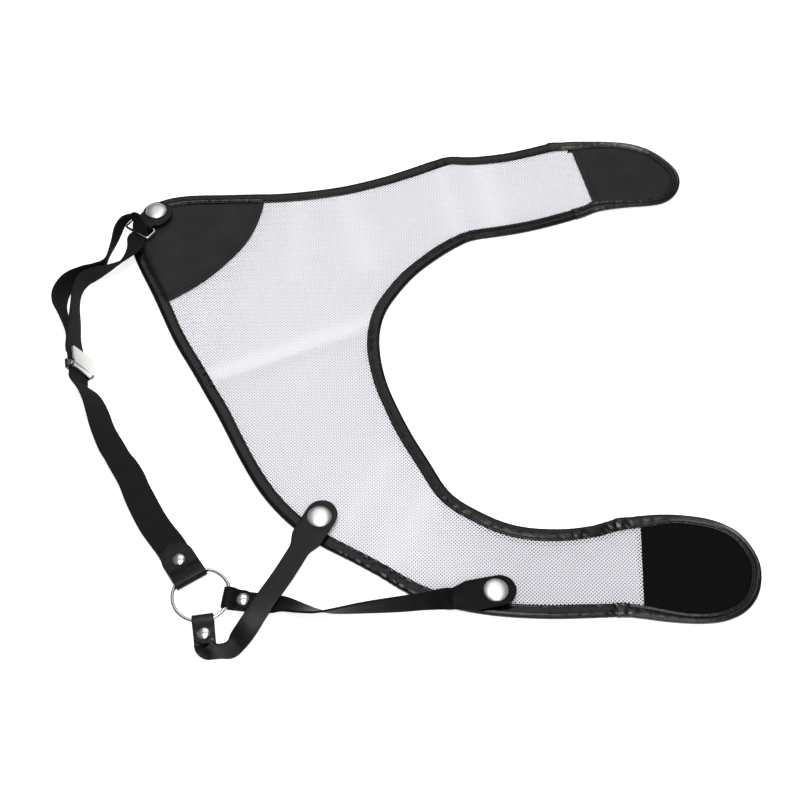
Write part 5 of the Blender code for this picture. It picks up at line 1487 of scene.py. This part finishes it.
# ---------------- floor, light and camera
FLOOR_REACH = 8.0
FLOOR_HEIGHT = -0.0002
# The grey sheet under the mesh panel is painted shade: it stands for the shade under the panel that
# shows through the mesh's holes.
SHADE_SHEET_HEIGHT = -0.00012
SHADE_SHEET_INSET = 0.006
SHADE_SHEET_ENDS = {"upper_tab": 0.003, "lower_tab": 0.002}  # it goes on this far past each seam
# Each lamp: the size of its square, the field that holds its power, and its place.
LAMPS = {"lamp_above": (0.6, "key_light", (0.0, -0.05, 1.5)),
         "front_lamp": (0.9, "front_light", (0.25, -1.1, 1.3)),
         "back_panel": (1.1, "back_light", (0.0, 1.15, 1.5))}
CAMERA_PLACE = (0.0, -0.5191, 0.7413)
CAMERA_TILT = 35.0  # degrees from straight down
SENSOR, LENS = 36.0, 61.83  # mm


def paper(name, colour):
    """Matt paper: its material, nodes, links and shader."""
    return material(name, {"Base Color": (*colour, 1), "Roughness": 0.9, "Specular IOR Level": 0.0})


def sheet_of_paper(name, corners, height, finish):
    """A flat face with these corners."""
    mesh = bpy.data.meshes.new(name)
    points = [(x, y, height) for x, y in corners]
    mesh.from_pydata(points, [], [tuple(range(len(points)))])
    mesh.materials.append(finish)
    return add_object(name, mesh)


def glowing_paper(colours, sizes):
    """The floor's paper: it shines only for the rays of the camera, straight or by way of a
    mirror, so it is white and keeps the shadows of the object."""
    made, nodes, links, shader = paper("pale_paper", colours.floor_white)
    rays = nodes.new("ShaderNodeLightPath")
    last = rays.outputs["Is Camera Ray"]
    for kind in ("Is Glossy Ray", "Is Transmission Ray"):
        either = nodes.new("ShaderNodeMath")
        either.operation = "MAXIMUM"
        links.new(last, either.inputs[0])
        links.new(rays.outputs[kind], either.inputs[1])
        last = either.outputs[0]
    glow = nodes.new("ShaderNodeMath")
    glow.operation = "MULTIPLY"
    glow.inputs[1].default_value = sizes.floor_glow
    links.new(last, glow.inputs[0])
    fill(shader, {"Emission Color": (1, 1, 1, 1)})
    links.new(glow.outputs[0], shader.inputs["Emission Strength"])
    return made


def soft_room(light):
    """A world of even light that is stronger from above."""
    world = bpy.data.worlds.new("soft_room")
    world.use_nodes = True
    nodes, links = world.node_tree.nodes, world.node_tree.links
    height = nodes.new("ShaderNodeSeparateXYZ")
    links.new(nodes.new("ShaderNodeTexCoord").outputs["Generated"], height.inputs[0])
    rise = nodes.new("ShaderNodeMapRange")
    fill(rise, {"To Min": light * 0.25, "To Max": light * 1.375})
    links.new(height.outputs["Z"], rise.inputs["Value"])
    fill(nodes["Background"], {"Color": (1, 1, 1, 1)})
    links.new(rise.outputs["Result"], nodes["Background"].inputs["Strength"])
    return world


def hang_lamps(sizes):
    """Square lamps, each turned to the middle of the floor."""
    for name, (size, power, place) in LAMPS.items():
        lamp = bpy.data.lights.new(name, "AREA")
        lamp.size = size
        lamp.energy = getattr(sizes, power)
        made = add_object(name, lamp)
        made.location = place
        made.rotation_euler = (-Vector(place)).to_track_quat("-Z", "Y").to_euler()


def build_stage():
    scene = bpy.context.scene
    sizes, colours = scene.guard_sizes, scene.guard_colours
    w = FLOOR_REACH
    floor = sheet_of_paper("floor", [(-w, -w), (w, -w), (w, w), (-w, w)], FLOOR_HEIGHT,
                           glowing_paper(colours, sizes))
    under = edge_inset(0.0, EDGE_LENGTH - 0.002, SHADE_SHEET_INSET)
    under = under[np.all([past_seam(under, tab) < end for tab, end in SHADE_SHEET_ENDS.items()], axis=0)]
    # Painted shade: a grey sheet under the mesh, inset from the guard's edge, so that the mesh's
    # holes show dark.
    painted_shade_sheet = sheet_of_paper("floor_mat", under + MOVE[:2], SHADE_SHEET_HEIGHT,
                         paper("grey_paper", colours.painted_shade_grey)[0])
    scene.world = soft_room(sizes.room_light)
    hang_lamps(sizes)
    scene.view_settings.view_transform = "Standard"
    lens = bpy.data.cameras.new("view_from_above")
    lens.sensor_width = SENSOR
    lens.lens = LENS
    lens.clip_start = 0.01
    camera = add_object("view_from_above", lens)
    camera.location = MOVE + CAMERA_PLACE
    camera.rotation_euler = (math.radians(CAMERA_TILT), 0.0, 0.0)
    scene.camera = camera


# ---------------- what a user sets
def metres(name, text, value):
    return FloatProperty(name=name, description=text, default=value, min=0.0, precision=5,
                         unit="LENGTH")


def watts(name, text, value):
    return FloatProperty(name=name, description=text, default=value, min=0.0, unit="POWER")


def strength(name, text, value):
    return FloatProperty(name=name, description=text, default=value, min=0.0)


def colour(name, text, value):
    return FloatVectorProperty(name=name, description=text, default=value, size=3, min=0.0,
                               max=1.0, subtype="COLOR")


class GuardSizes(bpy.types.PropertyGroup):
    """Sizes of the finished surfaces; the part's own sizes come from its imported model."""

    mesh_pitch: metres("Mesh pitch", "From one hole of the white mesh to the next", 0.00165)
    mesh_hole: metres("Mesh hole", "Side of a hole in the white mesh", 0.00108)
    mesh_yarn: metres("Mesh yarn", "Thickness of the white mesh's yarn", 0.00042)
    stitch_length: metres("Stitch", "Length of a stitch", 0.0026)
    stitch_gap: metres("Stitch gap", "Leather seen between two stitches", 0.0010)
    thread: metres("Thread", "Radius of the sewing thread", 0.00019)
    binding_wander: metres("Binding wander", "How unevenly wide the binding is", 0.00018)
    rib_depth: metres("Rib depth", "Depth between the elastic's ribs", 0.00022)
    rib_count: IntProperty(name="Ribs", description="Ribs across the elastic", default=16, min=4,
                           max=40)
    room_light: strength("Room light", "Strength of the even light", 0.214)
    key_light: watts("Lamp above", "Power of the lamp above", 11.3)
    front_light: watts("Front lamp", "Power of the front lamp", 7.6)
    back_light: watts("Back panel", "Power of the back panel", 6.0)
    floor_glow: strength("Floor glow", "Light the floor shows the camera", 0.7)


class GuardColours(bpy.types.PropertyGroup):
    """Colours of the finishes."""

    mesh_white: colour("Mesh", "Yarn of the mesh", (0.95, 0.94, 1.0))
    leather_black: colour("Leather", "Corner patch and tab facing", (0.021, 0.021, 0.0215))
    strap_black: colour("Strap leather", "Straps and tabs of the harness", (0.0065, 0.0064, 0.0065))
    binding_black: colour("Binding", "Folded leather round the edge", (0.0045, 0.0042, 0.0042))
    elastic_black: colour("Elastic", "Webbing", (0.0095, 0.0092, 0.0095))
    pile_black: colour("Pile", "Hook and loop faces", (0.0056, 0.0056, 0.0056))
    thread_grey: colour("Tab thread", "Stitching round the tabs", (0.055, 0.055, 0.055))
    thread_black: colour("Panel thread", "Stitching on the panel", (0.012, 0.012, 0.012))
    nickel: colour("Nickel", "Rivets, rings and adjuster", (0.58, 0.56, 0.54))
    nickel_pale: colour("Pale nickel", "Press stud caps", (0.70, 0.69, 0.67))
    # Painted shade and painted reflection: a dark copy of the nickel colour, used for the
    # adjuster's frame.
    nickel_shaded: colour("Shaded nickel", "Adjuster's channel and pin", (0.16, 0.155, 0.15))
    floor_white: colour("Floor", "Paper that the part lies on", (0.90, 0.90, 0.90))
    # Painted shade: the grey of the sheet under the mesh, which darkens what its holes show.
    painted_shade_grey: colour("Mat", "Paper under the mesh", (0.38, 0.37, 0.46))


# ---------------- one step for each piece
class GUARD_OT_stage(bpy.types.Operator):
    """Add the floor, the lamps and the camera"""

    bl_idname = "guard.stage"
    bl_label = "Stage"

    def execute(self, context):
        build_stage()
        return {"FINISHED"}


class GUARD_OT_panel(bpy.types.Operator):
    """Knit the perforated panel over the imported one"""

    bl_idname = "guard.panel"
    bl_label = "Mesh Panel"

    def execute(self, context):
        build_panel()
        return {"FINISHED"}


class GUARD_OT_bindings(bpy.types.Operator):
    """Fold the binding round the whole edge and stitch it"""

    bl_idname = "guard.bindings"
    bl_label = "Bindings"

    def execute(self, context):
        build_bindings()
        return {"FINISHED"}


class GUARD_OT_patch(bpy.types.Operator):
    """Cut and hem the leather corner patch"""

    bl_idname = "guard.patch"
    bl_label = "Corner Patch"

    def execute(self, context):
        build_patch()
        return {"FINISHED"}


class GUARD_OT_upper_tab(bpy.types.Operator):
    """Face the upper tab with leather and back it with hooks"""

    bl_idname = "guard.upper_tab"
    bl_label = "Upper Tab"

    def execute(self, context):
        build_upper_tab()
        return {"FINISHED"}


class GUARD_OT_lower_tab(bpy.types.Operator):
    """Cover the lower tab with loop pile"""

    bl_idname = "guard.lower_tab"
    bl_label = "Lower Tab"

    def execute(self, context):
        build_lower_tab()
        return {"FINISHED"}


class GUARD_OT_straps(bpy.types.Operator):
    """Make the two straps and the ring's tab"""

    bl_idname = "guard.straps"
    bl_label = "Leather Straps"

    def execute(self, context):
        build_straps()
        return {"FINISHED"}


class GUARD_OT_corner_tab(bpy.types.Operator):
    """Make the tab that holds the wire loop"""

    bl_idname = "guard.corner_tab"
    bl_label = "Corner Tab"

    def execute(self, context):
        build_corner_tab()
        return {"FINISHED"}


class GUARD_OT_elastic(bpy.types.Operator):
    """Weave the ribbed elastic along its route"""

    bl_idname = "guard.elastic"
    bl_label = "Elastic"

    def execute(self, context):
        build_elastic()
        return {"FINISHED"}


class GUARD_OT_fittings(bpy.types.Operator):
    """Turn the press studs and the rivets"""

    bl_idname = "guard.fittings"
    bl_label = "Studs and Rivets"

    def execute(self, context):
        build_fittings()
        return {"FINISHED"}


class GUARD_OT_rings(bpy.types.Operator):
    """Bend the round ring and the rectangular loop"""

    bl_idname = "guard.rings"
    bl_label = "Ring and Loop"

    def execute(self, context):
        build_ring_and_loop()
        return {"FINISHED"}


class GUARD_OT_adjuster(bpy.types.Operator):
    """Ease the edges of the cam adjuster's three parts"""

    bl_idname = "guard.adjuster"
    bl_label = "Adjuster"

    def execute(self, context):
        build_adjuster()
        return {"FINISHED"}


STEPS = (
    GUARD_OT_stage, GUARD_OT_panel, GUARD_OT_bindings, GUARD_OT_patch, GUARD_OT_upper_tab,
    GUARD_OT_lower_tab, GUARD_OT_straps, GUARD_OT_corner_tab, GUARD_OT_elastic, GUARD_OT_fittings,
    GUARD_OT_rings, GUARD_OT_adjuster,
)


class GUARD_PT_panel(bpy.types.Panel):
    """Lists the building steps with the sizes and the colours"""

    bl_label = "Mesh Chest Guard"
    bl_idname = "GUARD_PT_panel"
    bl_space_type = "VIEW_3D"
    bl_region_type = "UI"
    bl_category = "Chest Guard"

    def draw(self, context):
        for made in STEPS:
            self.layout.operator(made.bl_idname)
        for group in (context.scene.guard_sizes, context.scene.guard_colours):
            box = self.layout.box()
            for field in group.__annotations__:
                box.prop(group, field)


CLASSES = (GuardSizes, GuardColours, *STEPS, GUARD_PT_panel)


def register():
    for made in CLASSES:
        bpy.utils.register_class(made)
    bpy.types.Scene.guard_sizes = PointerProperty(type=GuardSizes)
    bpy.types.Scene.guard_colours = PointerProperty(type=GuardColours)


def unregister():
    del bpy.types.Scene.guard_colours
    del bpy.types.Scene.guard_sizes
    for made in reversed(CLASSES):
        bpy.utils.unregister_class(made)


def main():
    register()
    bpy.ops.guard.stage()
    bpy.ops.guard.panel()
    bpy.ops.guard.bindings()
    bpy.ops.guard.patch()
    bpy.ops.guard.upper_tab()
    bpy.ops.guard.lower_tab()
    bpy.ops.guard.straps()
    bpy.ops.guard.corner_tab()
    bpy.ops.guard.elastic()
    bpy.ops.guard.fittings()
    bpy.ops.guard.rings()
    bpy.ops.guard.adjuster()
    bpy.context.view_layer.update()


if __name__ == "__main__":
    main()
